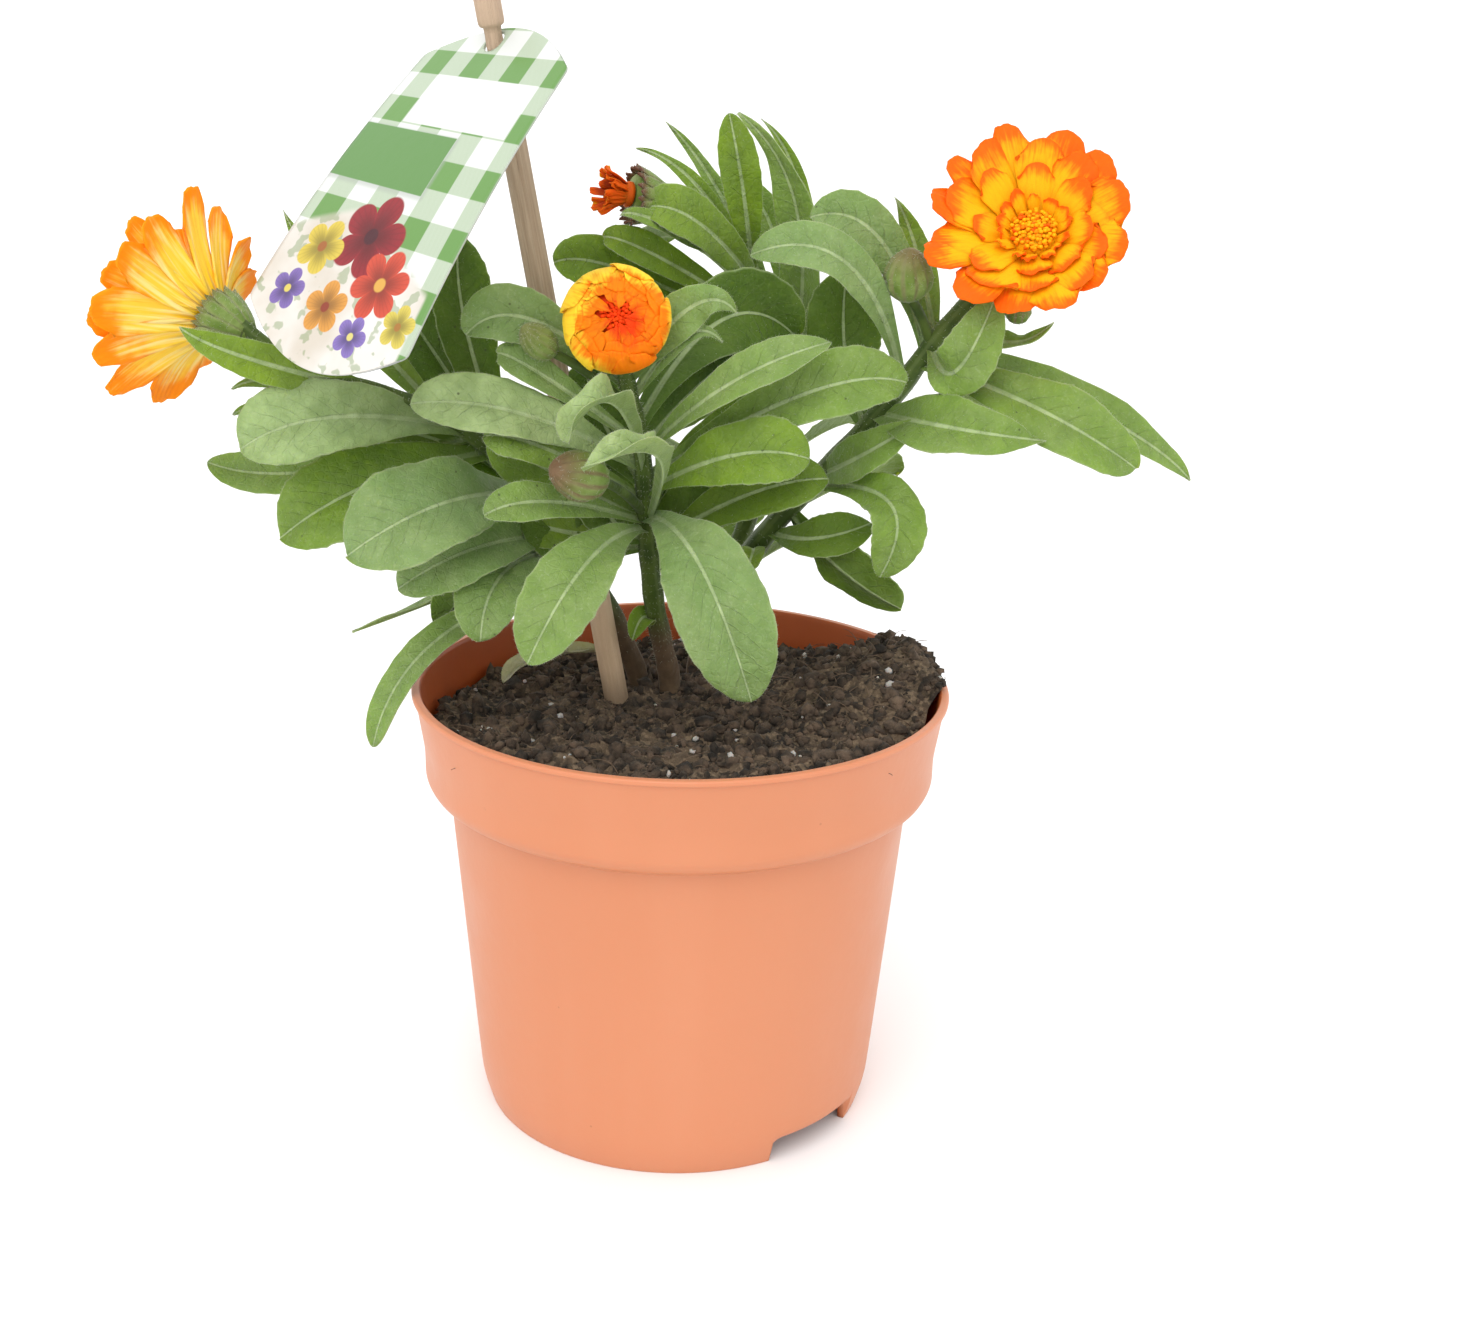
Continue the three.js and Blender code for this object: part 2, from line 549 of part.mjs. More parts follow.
// Round rings along a row of points, carried on without twist
function roundRings(points, radii, sides) {
  let side = new THREE.Vector3(1, 0, 0);
  return points.map((point, k) => {
    const before = points[Math.max(k - 1, 0)];
    const after = points[Math.min(k + 1, points.length - 1)];
    const along = after.clone().sub(before).normalize();
    side = side.clone().addScaledVector(along, -side.dot(along)).normalize();
    const across = along.clone().cross(side);
    return Array.from({ length: sides }, (_, i) => {
      const angle = (2 * Math.PI * i) / sides;
      return point
        .clone()
        .addScaledVector(side, radii[k] * Math.cos(angle))
        .addScaledVector(across, radii[k] * Math.sin(angle));
    });
  });
}

// A closed tube: its two ends are fans, so any number of sides will do
function tube(points, radii, sides) {
  const rings = roundRings(points, radii, sides);
  const n = sides;
  const vertices = rings.flat();
  const triangles = [];
  for (let k = 0; k + 1 < rings.length; k++)
    for (let i = 0; i < n; i++) {
      const a = k * n + i;
      const b = k * n + ((i + 1) % n);
      triangles.push([a, b, b + n], [a, b + n, a + n]);
    }
  const last = (rings.length - 1) * n;
  for (let i = 1; i + 1 < n; i++) triangles.push([0, i + 1, i], [last, last + i, last + i + 1]);
  return new wasm.Manifold(meshData(vertices, triangles));
}

function stem(name) {
  const { points, radii } = STEMS[name];
  const steps = 9;
  const foot = vector(points[0]);
  const path = [foot.clone().setZ(foot.z - STEM_FOOT_DEPTH), foot.clone().setZ(foot.z - 1)];
  const widths = [radii[0], radii[0]];
  for (let k = 1; k <= steps; k++) {
    path.push(stemAt(name, k / steps));
    widths.push(THREE.MathUtils.lerp(radii[0], radii[1], k / steps));
  }
  return tube(path, widths, STEM_SIDES);
}

function stalk(name, share, end, radius) {
  const start = stemAt(name, share);
  const middle = start.clone().lerp(end, 0.5);
  middle.z += 1.5;
  return tube([start, middle, end], [radius * 1.2, radius, radius], 6);
}

// Leaves

function outlineWidth(share, { widest, base, rise, blunt, round, tip }) {
  if (share < widest) return base + (1 - base) * Math.sin((Math.PI / 2) * (share / widest)) ** rise;
  const past = (share - widest) / (1 - widest);
  return Math.max((1 - past ** blunt) ** round, tip);
}

// One ring of a blade: the upper face's edge, rib and edge, then the underside's three back again
function bladeRing(centre, across, normal, half, lift, thickness, rib) {
  const place = (x, z) => centre.clone().addScaledVector(across, x).addScaledVector(normal, z);
  return [
    place(-half, lift[0] + thickness / 2),
    place(0, thickness / 2),
    place(half, lift[1] + thickness / 2),
    place(half, lift[1] - thickness / 2),
    place(0, -thickness / 2 - rib),
    place(-half, lift[0] - thickness / 2),
  ];
}

function leaf(name, [share, middle, tip, width, face, outline], index) {
  const base = stemAt(name, share);
  const end = vector(tip);
  const control = vector(middle).multiplyScalar(2).addScaledVector(base, -0.5).addScaledVector(end, -0.5);
  const curve = new THREE.QuadraticBezierCurve3(base, control, end);
  const stations = width < SMALL_LEAF_WIDTH ? SMALL_LEAF_STATIONS : LEAF_STATIONS;
  const rings = stations.map((s) => {
    const along = curve.getTangent(s);
    const normal = vector(face).addScaledVector(along, -vector(face).dot(along)).normalize();
    const across = along.clone().cross(normal);
    const half = (width / 2) * outlineWidth(s, outline);
    const wave = WAVE_HEIGHT * width * Math.sin(2 * Math.PI * WAVES * s + index) * Math.min(1, 2 * s);
    const lift = half * Math.sin(LEAF_FOLD);
    return bladeRing(
      curve.getPoint(s),
      across,
      normal,
      half * Math.cos(LEAF_FOLD),
      [lift + wave, lift - wave],
      LEAF_THICKNESS,
      RIB_DEPTH * (1 - s),
    );
  });
  return loft(rings);
}

// Blooms

function bloomFrame({ mouth, axis }) {
  const along = vector(axis).normalize();
  const side = new THREE.Vector3(0, 0, 1).cross(along).normalize();
  const other = along.clone().cross(side);
  return { centre: vector(mouth), along, side, other };
}

// The point at a distance out from a bloom's axis, at an angle round it and a height along it
function inBloom(frame, radius, angle, height) {
  return frame.centre
    .clone()
    .addScaledVector(frame.side, radius * Math.cos(angle))
    .addScaledVector(frame.other, radius * Math.sin(angle))
    .addScaledVector(frame.along, height);
}

// A petal that leaves the axis at one rise and ends at another, both in degrees
function petal(frame, angle, { start, height, length, width, foot, tip }) {
  const steps = 20;
  const riseAt = (share) => THREE.MathUtils.degToRad(THREE.MathUtils.lerp(foot, tip, share));
  const path = [[start, height]];
  for (let k = 0; k < steps; k++) {
    const rise = riseAt((k + 0.5) / steps);
    const [r, z] = path[k];
    path.push([r + (length / steps) * Math.cos(rise), z + (length / steps) * Math.sin(rise)]);
  }
  const level = inBloom(frame, 1, angle + Math.PI / 2, 0).sub(frame.centre);
  const rings = PETAL_STATIONS.map((s) => {
    const [r, z] = path[Math.round(s * steps)];
    const along = inBloom(frame, Math.cos(riseAt(s)), angle, Math.sin(riseAt(s))).sub(frame.centre);
    const across = level.clone().applyAxisAngle(along.clone().normalize(), PETAL_ROLL * Math.min(1, 2 * s));
    const normal = across.clone().cross(along).normalize();
    const half = (width / 2) * PETAL_WIDTHS[PETAL_STATIONS.indexOf(s)];
    const lift = half * Math.sin(PETAL_FOLD);
    const ring = bladeRing(inBloom(frame, r, angle, z), across, normal, half, [lift, lift], PETAL_THICKNESS, 0);
    if (s === 1) for (const i of [1, 4]) ring[i].addScaledVector(along, -PETAL_NOTCH);
    return ring;
  });
  return loft(rings);
}

function petals(name) {
  const { rows, longer, outer, inner } = BLOOMS[name];
  const frame = bloomFrame(BLOOMS[name]);
  const core = tube(
    [inBloom(frame, 0, 0, GAP), inBloom(frame, 0, 0, 1.4), inBloom(frame, 0, 0, inner.height + 0.8)],
    [outer.start + 0.8, outer.start + 0.8, inner.start + 0.8],
    10,
  );
  const solids = [core];
  let draw = 0;
  rows.forEach((count, row) => {
    const depth = row / (rows.length - 1);
    for (let k = 0; k < count; k++) {
      const size = {};
      for (const key of Object.keys(outer)) size[key] = THREE.MathUtils.lerp(outer[key], inner[key], depth);
      const angle = (2 * Math.PI * (k + 0.5 * (row % 2))) / count + 0.06 * jitter(draw + 200);
      size.length *= 1 + 0.05 * jitter(draw) + longer[0] * Math.cos(angle) + longer[1] * Math.sin(angle);
      size.tip += 4 * jitter(draw + 100);
      solids.push(petal(frame, angle, size));
      draw += 1;
    }
  });
  return joined(solids);
}

// The green cup under a bloom. Its mouth is a crown: every second corner is the tip of a bract.
function cup({ mouth, axis, cup: radius, length = CUP_LENGTH }) {
  const frame = bloomFrame({ mouth, axis });
  const ring = (inner, outer, low, high) =>
    Array.from({ length: 2 * BRACT_COUNT }, (_, i) => {
      const angle = (Math.PI * i) / BRACT_COUNT;
      return i % 2 ? inBloom(frame, inner, angle, low) : inBloom(frame, outer, angle, high);
    });
  return loft([
    ring(1.9, 1.9, -length - 1, -length - 1),
    ring(radius * 0.72, radius * 0.82, -length * 0.72, -length * 0.72),
    ring(radius * 0.92, radius * 1.08, -length * 0.3, -length * 0.3),
    ring(radius * 0.96, radius * 1.26, -0.6, 1),
    ring(radius * 0.8, radius * 0.86, -0.4, 0),
  ]);
}

// A closed bud: an egg with the edges of its bracts as ribs
function bud({ foot, tip, radius }) {
  const start = vector(foot);
  const end = vector(tip);
  const shares = [0, 0.25, 0.5, 0.78, 1];
  const widths = [0.45, 0.92, 1, 0.72, 0.2].map((w) => w * radius);
  const rings = roundRings(shares.map((s) => start.clone().lerp(end, s)), widths, 2 * BUD_RIBS);
  rings.forEach((ring, k) => {
    const centre = start.clone().lerp(end, shares[k]);
    ring.forEach((point, i) => {
      if (i % 2) point.lerp(centre, 0.16);
    });
  });
  const vertices = rings.flat();
  const n = 2 * BUD_RIBS;
  const triangles = [];
  for (let k = 0; k + 1 < rings.length; k++)
    for (let i = 0; i < n; i++) {
      const a = k * n + i;
      const b = k * n + ((i + 1) % n);
      triangles.push([a, b, b + n], [a, b + n, a + n]);
    }
  const ends = [vertices.length, vertices.length + 1];
  vertices.push(start, end);
  const last = (rings.length - 1) * n;
  for (let i = 0; i < n; i++) {
    const next = (i + 1) % n;
    triangles.push([ends[0], next, i], [ends[1], last + i, last + next]);
  }
  return new wasm.Manifold(meshData(vertices, triangles));
}

// The first petals of the opening bud, a tuft of narrow ones
function openingPetals() {
  const frame = bloomFrame(OPENING_BUD);
  const solids = [tube([inBloom(frame, 0, 0, GAP), inBloom(frame, 0, 0, 2.4)], [3, 2.4], 8)];
  for (let k = 0; k < OPENING_PETALS; k++) {
    const angle = (2 * Math.PI * k) / OPENING_PETALS + 0.2 * jitter(k + 50);
    const length = 7.5 + 1.5 * jitter(k + 70);
    const foot = 74 + 6 * jitter(k);
    const tip = 58 + 12 * jitter(k + 20);
    solids.push(petal(frame, angle, { start: 1.9, height: 0.9, length, width: 2.8, foot, tip }));
  }
  return joined(solids);
}

function shoot(name) {
  const solids = [stem(name), ...LEAVES[name].map((row, index) => leaf(name, row, index))];
  solids.push(cup(BLOOMS[name] ?? OPENING_BUD));
  for (const row of BUDS.filter((row) => row.stem === name)) {
    solids.push(bud(row));
    solids.push(stalk(name, row.share, vector(row.foot).lerp(vector(row.tip), 0.15), 1.1));
  }
  return joined(solids);
}

const root = new THREE.Group();
root.add(meshOf("pot", pot(), 0xf0a07a, 0.45));
root.add(meshOf("peat", peat(), 0x3a2a20, 1));
root.add(meshOf("stake", stake(), 0xcfae8a, 0.7));
root.add(meshOf("card", card(), 0xf4f6ee, 0.5));
for (const name of Object.keys(STEMS)) root.add(meshOf("shoot_" + name, shoot(name), 0x6f8f4e, 0.75));
for (const name of Object.keys(BLOOMS)) root.add(meshOf("bloom_" + name + "_petals", petals(name), 0xf98a12, 0.6));
root.add(meshOf("opening_bud_petals", openingPetals(), 0xf0701a, 0.6));

const box = new THREE.Box3().setFromObject(root);
root.position.set(-(box.min.x + box.max.x) / 2, -(box.min.y + box.max.y) / 2, -box.min.z);

export default root;
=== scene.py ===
import math

import bpy
import numpy as np
from mathutils import Matrix, Vector


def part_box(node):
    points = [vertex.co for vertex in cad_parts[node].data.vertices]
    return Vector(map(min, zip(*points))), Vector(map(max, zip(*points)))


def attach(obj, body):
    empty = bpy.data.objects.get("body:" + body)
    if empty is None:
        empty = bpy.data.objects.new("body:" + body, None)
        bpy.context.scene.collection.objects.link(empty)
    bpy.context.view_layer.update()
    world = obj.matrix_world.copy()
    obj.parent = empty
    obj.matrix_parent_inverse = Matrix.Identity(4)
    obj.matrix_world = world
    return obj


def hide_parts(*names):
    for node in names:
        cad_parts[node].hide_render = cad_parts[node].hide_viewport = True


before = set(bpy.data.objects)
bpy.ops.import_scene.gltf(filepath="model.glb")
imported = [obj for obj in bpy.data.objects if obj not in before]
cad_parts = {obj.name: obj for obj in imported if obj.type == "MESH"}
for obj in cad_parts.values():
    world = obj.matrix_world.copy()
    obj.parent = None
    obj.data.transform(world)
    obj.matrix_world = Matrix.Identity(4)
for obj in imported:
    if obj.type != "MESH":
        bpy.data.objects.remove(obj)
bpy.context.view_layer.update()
pot_low, pot_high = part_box("pot")
SHIFT = np.array([500 * (pot_low.x + pot_high.x), 500 * (pot_low.y + pot_high.y), 0.0])

# Pot
POT_HEIGHT = 108.0
RIM_RADIUS = 65.0
SHOULDER_RADIUS = 56.2
SHOULDER_HEIGHT = 82.0
FOOT_RADIUS = 47.3
WALL = 1.3
BAND_INSET = 3.0  # how far the band under the rim stands back from it
FOOT_FLARE = 2.7
FLARE_HEIGHT = 14.0
BASE_TOP = 9.0
BASE_THICKNESS = 1.4
NOTCH_AZIMUTHS = [-43.5, 136.5]
NOTCH_WIDTH = 28.0
NOTCH_HEIGHT = 5.5
NOTCH_CORNER = 3.2
NOTCH_FADE = 7.4  # height from which the wall is round again
DRAIN_COUNT = 6
DRAIN_RADIUS = 3.0
DRAIN_CIRCLE = 33.0

# Peat
PEAT_LEVEL = 99.5
HEAP_X = 56.0
HEAP_Y = 13.0
HEAP_HEIGHT = 11.0
HEAP_SPREAD = 26.0
SPILL_RADIUS = 64.3
SMALLEST_LUMP = 0.35

# Stake and card
STAKE_RADIUS = 3.0
STAKE_FOOT = np.array([-5.8, 13.0, 42.0])
STAKE_TOP = np.array([-45.5, -2.0, 269.0])
NECK_RADIUS = 2.0
NECK_BELOW_TOP = 12.5
CARD_THICKNESS = 0.6
CARD_ACROSS = np.array([0.6312, -0.7755, 0.017])
CARD_UP = np.array([0.5421, 0.4567, 0.7054])
CARD_LEFT = -22.2
CARD_RIGHT = 31.8
CARD_TOP = 4.1
CARD_BOTTOM = 75.6
CARD_TOP_BOW = 8.4
CARD_BOTTOM_BOW = 9.3
CARD_FLAT_LENGTH = 12.0
CARD_BEND = math.radians(9.7) / 58
CARD_TWIST = math.radians(-9.8) / 70
CARD_CORNER = 2.2
CARD_HOLE_RADIUS = 2.8

# Stems: points passed, then the radii at the foot and the end
STEM_FOOT_DEPTH = 14.0
STEMS = {
    "left": ([
        (-11, 25, 101), (-20, 23, 122), (-35, 16, 146), (-50, 8, 166), (-68, 0, 177), (-88, -6, 184),
        (-101, -6, 194),
    ], (2.6, 1.7)),
    "front": ([
        (-3, 18, 103), (-7, 10, 125), (-9, 0, 148), (-10, -8, 167), (-13, -12, 182), (-15.5, -16, 194),
    ], (2.7, 1.7)),
    "back": ([
        (6, 45, 104), (13, 46, 126), (22, 45, 155), (26, 42, 179), (19, 38, 195), (8, 32, 209), (-3, 27, 217),
    ], (2.5, 1.6)),
    "right": ([
        (4, 31, 102), (11, 22, 125), (23, 12, 146), (37, 8, 163), (48, 5, 177), (58, 4, 192), (68, 5, 203),
        (78, 3, 209),
    ], (2.9, 2.0)),
}

# Leaves: share of the stem, middle and tip of the midrib, width, the way the upper face looks, outline,
# and how deep a green it is, from 0 for grey-green to 1, where the darkest green is partly painted shade
# on leaves deep in the plant. Down to -0.35 it is paler, painted light on leaves that face the light,
# and at -1 withered. A last value says how curled the leaf is.
FRONT = (0, -0.85, 0.5)
FACING = (0, -1, 0.25)
SKY = (0, -0.45, 0.9)
BEHIND = (0, 0.6, 0.8)
UNDER = (0, 0.75, 0.55)
SPOON = dict(widest=0.64, base=0.2, rise=1.7, blunt=2.4, round=0.6)
PADDLE = dict(widest=0.7, base=0.16, rise=2.3, blunt=2.4, round=0.6)
LANCE = dict(widest=0.38, base=0.3, rise=1.2, blunt=1.5, round=0.95)
LEAVES = {
    "left": [
        (0.52, (-80, -10, 174), (-101, -14, 167), 20, FRONT, SPOON, -0.22),
        (0.46, (-73, -4, 157), (-94, -8, 144.5), 21, FRONT, SPOON, 0.5),
        (0.5, (-90, 14, 155), (-115, 14, 157), 11, FRONT, SPOON, 0.35),
        (0.65, (-92, 2, 180), (-106, 4, 177), 6, FRONT, LANCE, 0.5),
        (0.64, (-93, 6, 174), (-107, 8, 170), 6, FRONT, LANCE, 0.5),
        (0.7, (-99, -13, 188), (-113, -15, 195), 9.5, FACING, LANCE, 0.6),
        (0.36, (-54, -20, 157), (-75, -30, 147), 24, FRONT, SPOON, -0.02),
        (0.28, (-47, -14, 145), (-65, -22, 137), 16, FRONT, SPOON, 0.15),
        (0.27, (-56, 12, 126), (-81, 10, 116), 9, (-0.5, 0.2, 1), LANCE, 0.3),
        (0.26, (-46, 8, 133), (-59, 4, 119), 14, UNDER, SPOON, 0.9),
        (0.25, (-41, -12, 139), (-46, -26, 126), 17, FRONT, SPOON, 0.2),
        (0.2, (-57, -4, 120), (-73, -14, 95), 9.5, (-0.3, -0.7, 0.7), SPOON, 0.3),
        (0.39, (-58, 10, 164), (-74, 12, 166), 14, FRONT, SPOON, 0.8),
        (0.39, (-52, 16, 188), (-54, 18, 212), 15, (0.3, -1, 0.2), SPOON, 0.9),
        (0.42, (-58, 16, 181), (-69, 19, 196), 16, (0.3, -1, 0.2), SPOON, 0.9),
        (0.56, (-82, 20, 195), (-96, 24, 216), 8, FACING, LANCE, 0.5),
        (0.3, (-46, 26, 156), (-62, 44, 152), 18, BEHIND, SPOON, 0.4),
        (0.16, (-30, 38, 128), (-46, 54, 122), 18, BEHIND, SPOON, 0.5),
        (0.46, (-62, 26, 178), (-76, 40, 184), 15, BEHIND, SPOON, 0.4),
        (0.05, (-33, 15, 109), (-44, 8, 104), 6.5, SKY, SPOON, -1.0, 0.8),
    ],
    "front": [
        (0.55, (-37, -20, 178), (-61, -24, 180.5), 14, FRONT, SPOON, -0.3),
        (0.38, (-21, -30, 147), (-34, -44, 127), 17.5, FRONT, PADDLE, 0.25),
        (0.81, (-35, -14, 198), (-49, -18, 195), 14, FRONT, SPOON, 0.1),
        (0.62, (-32, -17, 186), (-42, -18, 191), 8, FRONT, SPOON, 0.2),
        (0.53, (-16, -34, 184), (-26, -39, 176), 10, SKY, SPOON, -0.3, 0.9),
        (0.39, (-6, -33, 172), (-22, -43, 171), 9.5, SKY, SPOON, -0.35, 1.0),
        (0.46, (-32, -19, 170), (-45, -22, 173), 10.5, FRONT, SPOON, 0.4),
        (0.4, (-30, -25, 159), (-44, -34, 158), 9.5, FRONT, SPOON, 0.35),
        (0.41, (3, -28, 147), (16, -36, 116), 22.5, FRONT, PADDLE, 0.1),
        (0.48, (11, -19, 169), (28, -21, 169), 16.5, FRONT, SPOON, 0.55),
        (0.33, (14, -9, 157), (33, -11, 162), 13.5, FRONT, SPOON, 0.8),
        (0.58, (9, -20, 185), (32, -18, 195), 11, (0, -0.7, 0.75), SPOON, 0.3),
        (0.51, (26, -14, 182), (50, -12, 185), 16, FRONT, SPOON, 0.4),
        (0.68, (8, 7, 195), (26, 14, 190), 21, FACING, SPOON, 0.95),
        (0.84, (1, -16, 202), (11, -18, 201), 10.5, FACING, LANCE, 0.2),
        (0.76, (-1, -15, 195), (8, -15, 194), 5, FACING, LANCE, 0.2),
        (0.6, (1, 4, 178), (14, 10, 188), 17, FRONT, SPOON, 0.95),
        (0.46, (8, -3, 170), (26, 0, 176), 12, FRONT, SPOON, 0.85),
        (0.1, (-9, 10, 121), (-12, 4, 117), 6.5, FRONT, SPOON, 0.7, 0.4),
        (0.36, (-18, 2, 150), (-17.5, 6, 168), 15, FACING, SPOON, 0.9),
        (0.36, (-34, 2, 146), (-45, 6, 154), 12, FACING, SPOON, 0.6),
        (0.3, (-7, 6, 146), (-4, 8, 158), 11, FACING, SPOON, 0.9),
        (0.5, (-19, 2, 171), (-24, 4, 185), 17, FACING, SPOON, 0.9),
        (0.4, (-30, 0, 159), (-46, 0, 168), 15, FACING, SPOON, 0.5),
        (0.34, (-28, 2, 143), (-34, 3, 155), 14, FACING, SPOON, 0.85),
        (0.3, (0, 5, 148), (14, 6, 158), 16, FACING, SPOON, 0.85),
        (0.28, (-2, 5, 141), (9, 6, 148), 12, FACING, SPOON, 0.9),
    ],
    "back": [
        (0.61, (4, 22, 214), (-11, 18, 219), 12.5, FRONT, SPOON, 0.5),
        (0.76, (-7, 17, 216), (-16, 12, 218), 5.5, FRONT, LANCE, 0.4),
        (0.51, (-12, 26, 202), (-32, 24, 205), 13, FACING, SPOON, 0.65),
        (0.56, (-5, 22, 206), (-20, 19, 212), 9, FRONT, SPOON, 0.7),
        (0.72, (2, 36, 222), (-13, 36, 231), 4.8, FRONT, LANCE, 0.5),
        (0.61, (8, 40, 219), (-6, 40, 237), 5.5, FRONT, LANCE, 0.4),
        (0.36, (27, 24, 212), (11, 22, 241), 13, (-0.6, -0.8, 0), LANCE, 0.3),
        (0.46, (28, 44, 215), (17, 42, 238), 6.5, FACING, LANCE, 0.5),
        (0.53, (21, 48, 210), (11, 48, 221), 8, FACING, SPOON, 0.4),
        (0.15, (16, 62, 134), (22, 84, 130), 20, BEHIND, SPOON, 0.5),
        (0.26, (0, 60, 150), (-18, 76, 150), 19, BEHIND, SPOON, 0.4),
        (0.3, (38, 60, 158), (52, 76, 156), 19, BEHIND, SPOON, 0.3),
        (0.46, (20, 62, 188), (17, 82, 192), 17, BEHIND, SPOON, 0.4),
        (0.58, (2, 50, 206), (-10, 64, 204), 13, BEHIND, SPOON, 0.3),
        (0.72, (13, 27, 221), (9, 26, 240.5), 10, FACING, SPOON, 0.6),
    ],
    "right": [
        (0.61, (36, -6, 210.5), (14, -5, 212), 11.5, FRONT, SPOON, 0.1),
        (0.68, (44, 8, 214.5), (28, 8, 219), 12.5, FRONT, SPOON, 0.1),
        (0.71, (54, 18, 210), (48, 16, 223), 7.5, FACING, LANCE, 0.5),
        (0.7, (61, -12, 188), (69, -12, 205), 13.5, FACING, SPOON, 0.35),
        (0.54, (62, -19, 176), (81, -20, 174), 15.5, FRONT, LANCE, 0.4),
        (0.38, (43, -4, 167), (56, -8, 177), 11, FRONT, LANCE, 0.4),
        (0.66, (80, -14, 180), (103, -16, 167), 16, FRONT, SPOON, 0.4),
        (0.7, (99.5, 8, 173.5), (121, 6, 159), 12, FRONT, LANCE, 0.35),
        (0.78, (74, -3, 193), (84, -3, 198), 6.5, SKY, LANCE, 0.4),
        (0.36, (47.8, -10, 156), (46, -12, 139), 14, (0.25, -0.9, 0.3), SPOON, 0.45),
        (0.31, (37, 4, 137), (53, 2, 127), 15.5, UNDER, SPOON, 0.85),
        (0.26, (31, 2, 144), (45, 6, 147), 11, FRONT, SPOON, 0.8),
        (0.2, (17, 9, 139), (15, 5, 134), 6, SKY, SPOON, 0.6),
        (0.3, (42, 32, 151), (54, 44, 150), 17, BEHIND, SPOON, 0.6),
        (0.45, (60, 26, 172), (80, 36, 168), 15, BEHIND, SPOON, 0.4),
        (0.17, (30, 38, 134), (46, 52, 130), 16, BEHIND, SPOON, 0.7),
        (0.66, (72, 22, 198), (80, 38, 200), 12, BEHIND, SPOON, 0.3),
        (0.5, (38, 19, 186), (38, 22, 205), 19, FACING, SPOON, 0.9),
    ],
}
LEAF_THICKNESS = 0.75
RIB_DEPTH = 0.5
LEAF_FOLD = math.radians(13)
CURL_FOLD = 0.75  # added fold of a fully curled leaf, in radians
WAVE_HEIGHT = 0.05
WAVES = 2.2
QUILT_LENGTH = 4.6

# Blooms: mouth of the green cup, the way it looks, the cup's radius and how brown its bracts are, the core
# under the petals as radius and height, and the rows of petals from the outermost in. An open row: count,
# radius and height where its petals start, their length and width, and their rise at the foot and the tip,
# in degrees. A closed row: count, the dome's radius and height, how far round it the petals reach, in
# radians, and their width. A look holds what petal_material takes.
BLOOMS = {
    "left": dict(
        mouth=(-107.5, -1, 194.5), axis=(-0.8, 0.5, 0.27), cup=6.2, brown=0.5,
        core=[(5.1, 0.35), (5.2, 1.4), (4.4, 2.2), (3.7, 3.0)],
        rows=[
            (12, 4.4, 0.9, 26.2, 10.2, 46, 16),
            (9, 3.6, 1.8, 24.4, 9.2, 56, 30),
            (7, 2.8, 2.8, 21.0, 7.6, 66, 44),
        ],
        look=dict(
            colours=[(0.90, 0.52, 0.012), (0.90, 0.56, 0.05), (0.90, 0.25, 0.004)],
            under=(0.88, 0.42, 0.01), under_share=0.35, rim=0.25, spans=(0.05, 0.3, 0.52, 0.92),
            streak=0.5, pale=0.6,
        ),
    ),
    "front": dict(
        mouth=(-16.0, -17.6, 198.2), axis=(0.06, -0.95, 0.3), cup=6.0, brown=0.75,
        core=[(5.0, 0.35), (7.9, 2.4), (9.2, 5.0), (9.0, 7.6), (7.6, 9.9), (4.8, 11.4), (1.5, 12.0)],
        closed=[
            (10, 11.9, 12.8, 2.36, 11.2), (9, 11.3, 12.8, 2.54, 9.6), (8, 10.8, 12.8, 2.68, 8.4),
            (8, 10.3, 12.8, 2.8, 6.6), (7, 9.8, 12.9, 2.9, 5.2), (6, 9.2, 13.1, 2.99, 3.8),
            (5, 8.6, 13.3, 3.06, 2.6),
        ],
        disc=dict(radius=3.4, height=11.8, count=70, lengths=(1.5, 0.5), redness=0.9),
        look=dict(
            colours=[(0.93, 0.56, 0.03), (0.90, 0.185, 0.002), (0.80, 0.045, 0.001)],
            under=(0.84, 0.17, 0.003), under_share=0.3, rim=-0.05, spans=(-0.04, 0.18, 0.38, 0.78),
        ),
    ),
    "right": dict(
        mouth=(78.3, -1.5, 215.5), axis=(-0.14, -0.78, 0.61), cup=6.4, brown=0.5,
        core=[(5.5, 0.35), (5.6, 1.4), (5.3, 3.0), (5.0, 4.6), (3.6, 5.9), (1.4, 6.4)],
        rows=[
            (12, 4.8, 0.9, 22.0, 11.0, 40, 14),
            (10, 4.6, 1.8, 18.4, 12.6, 42, 18),
            (8, 4.5, 2.6, 12.6, 9.6, 46, 28),
            (14, 4.7, 3.4, 6.4, 3.4, 60, 50),
        ],
        disc=dict(radius=4.7, height=5.4, count=170, lengths=(2.0, 0.7), redness=0.66),
        look=dict(
            colours=[(0.90, 0.46, 0.006), (0.90, 0.39, 0.003), (0.86, 0.11, 0.001)],
            under=(0.90, 0.43, 0.004), under_share=0.2, rim=0.1, spans=(0.1, 0.5, 0.66, 0.94),
        ),
    ),
}
OPENING_BUD = dict(
    mouth=(-13.5, 22.5, 221.5), axis=(-0.9, -0.34, 0.18), cup=5.8, brown=1.0,
    look=dict(
        colours=[(0.48, 0.09, 0.005), (0.64, 0.08, 0.002), (0.66, 0.09, 0.002)],
        under=(0.20, 0.02, 0.006), under_share=0.7, rim=0.1, spans=(0.08, 0.5, 0.62, 0.98),
    ),
)
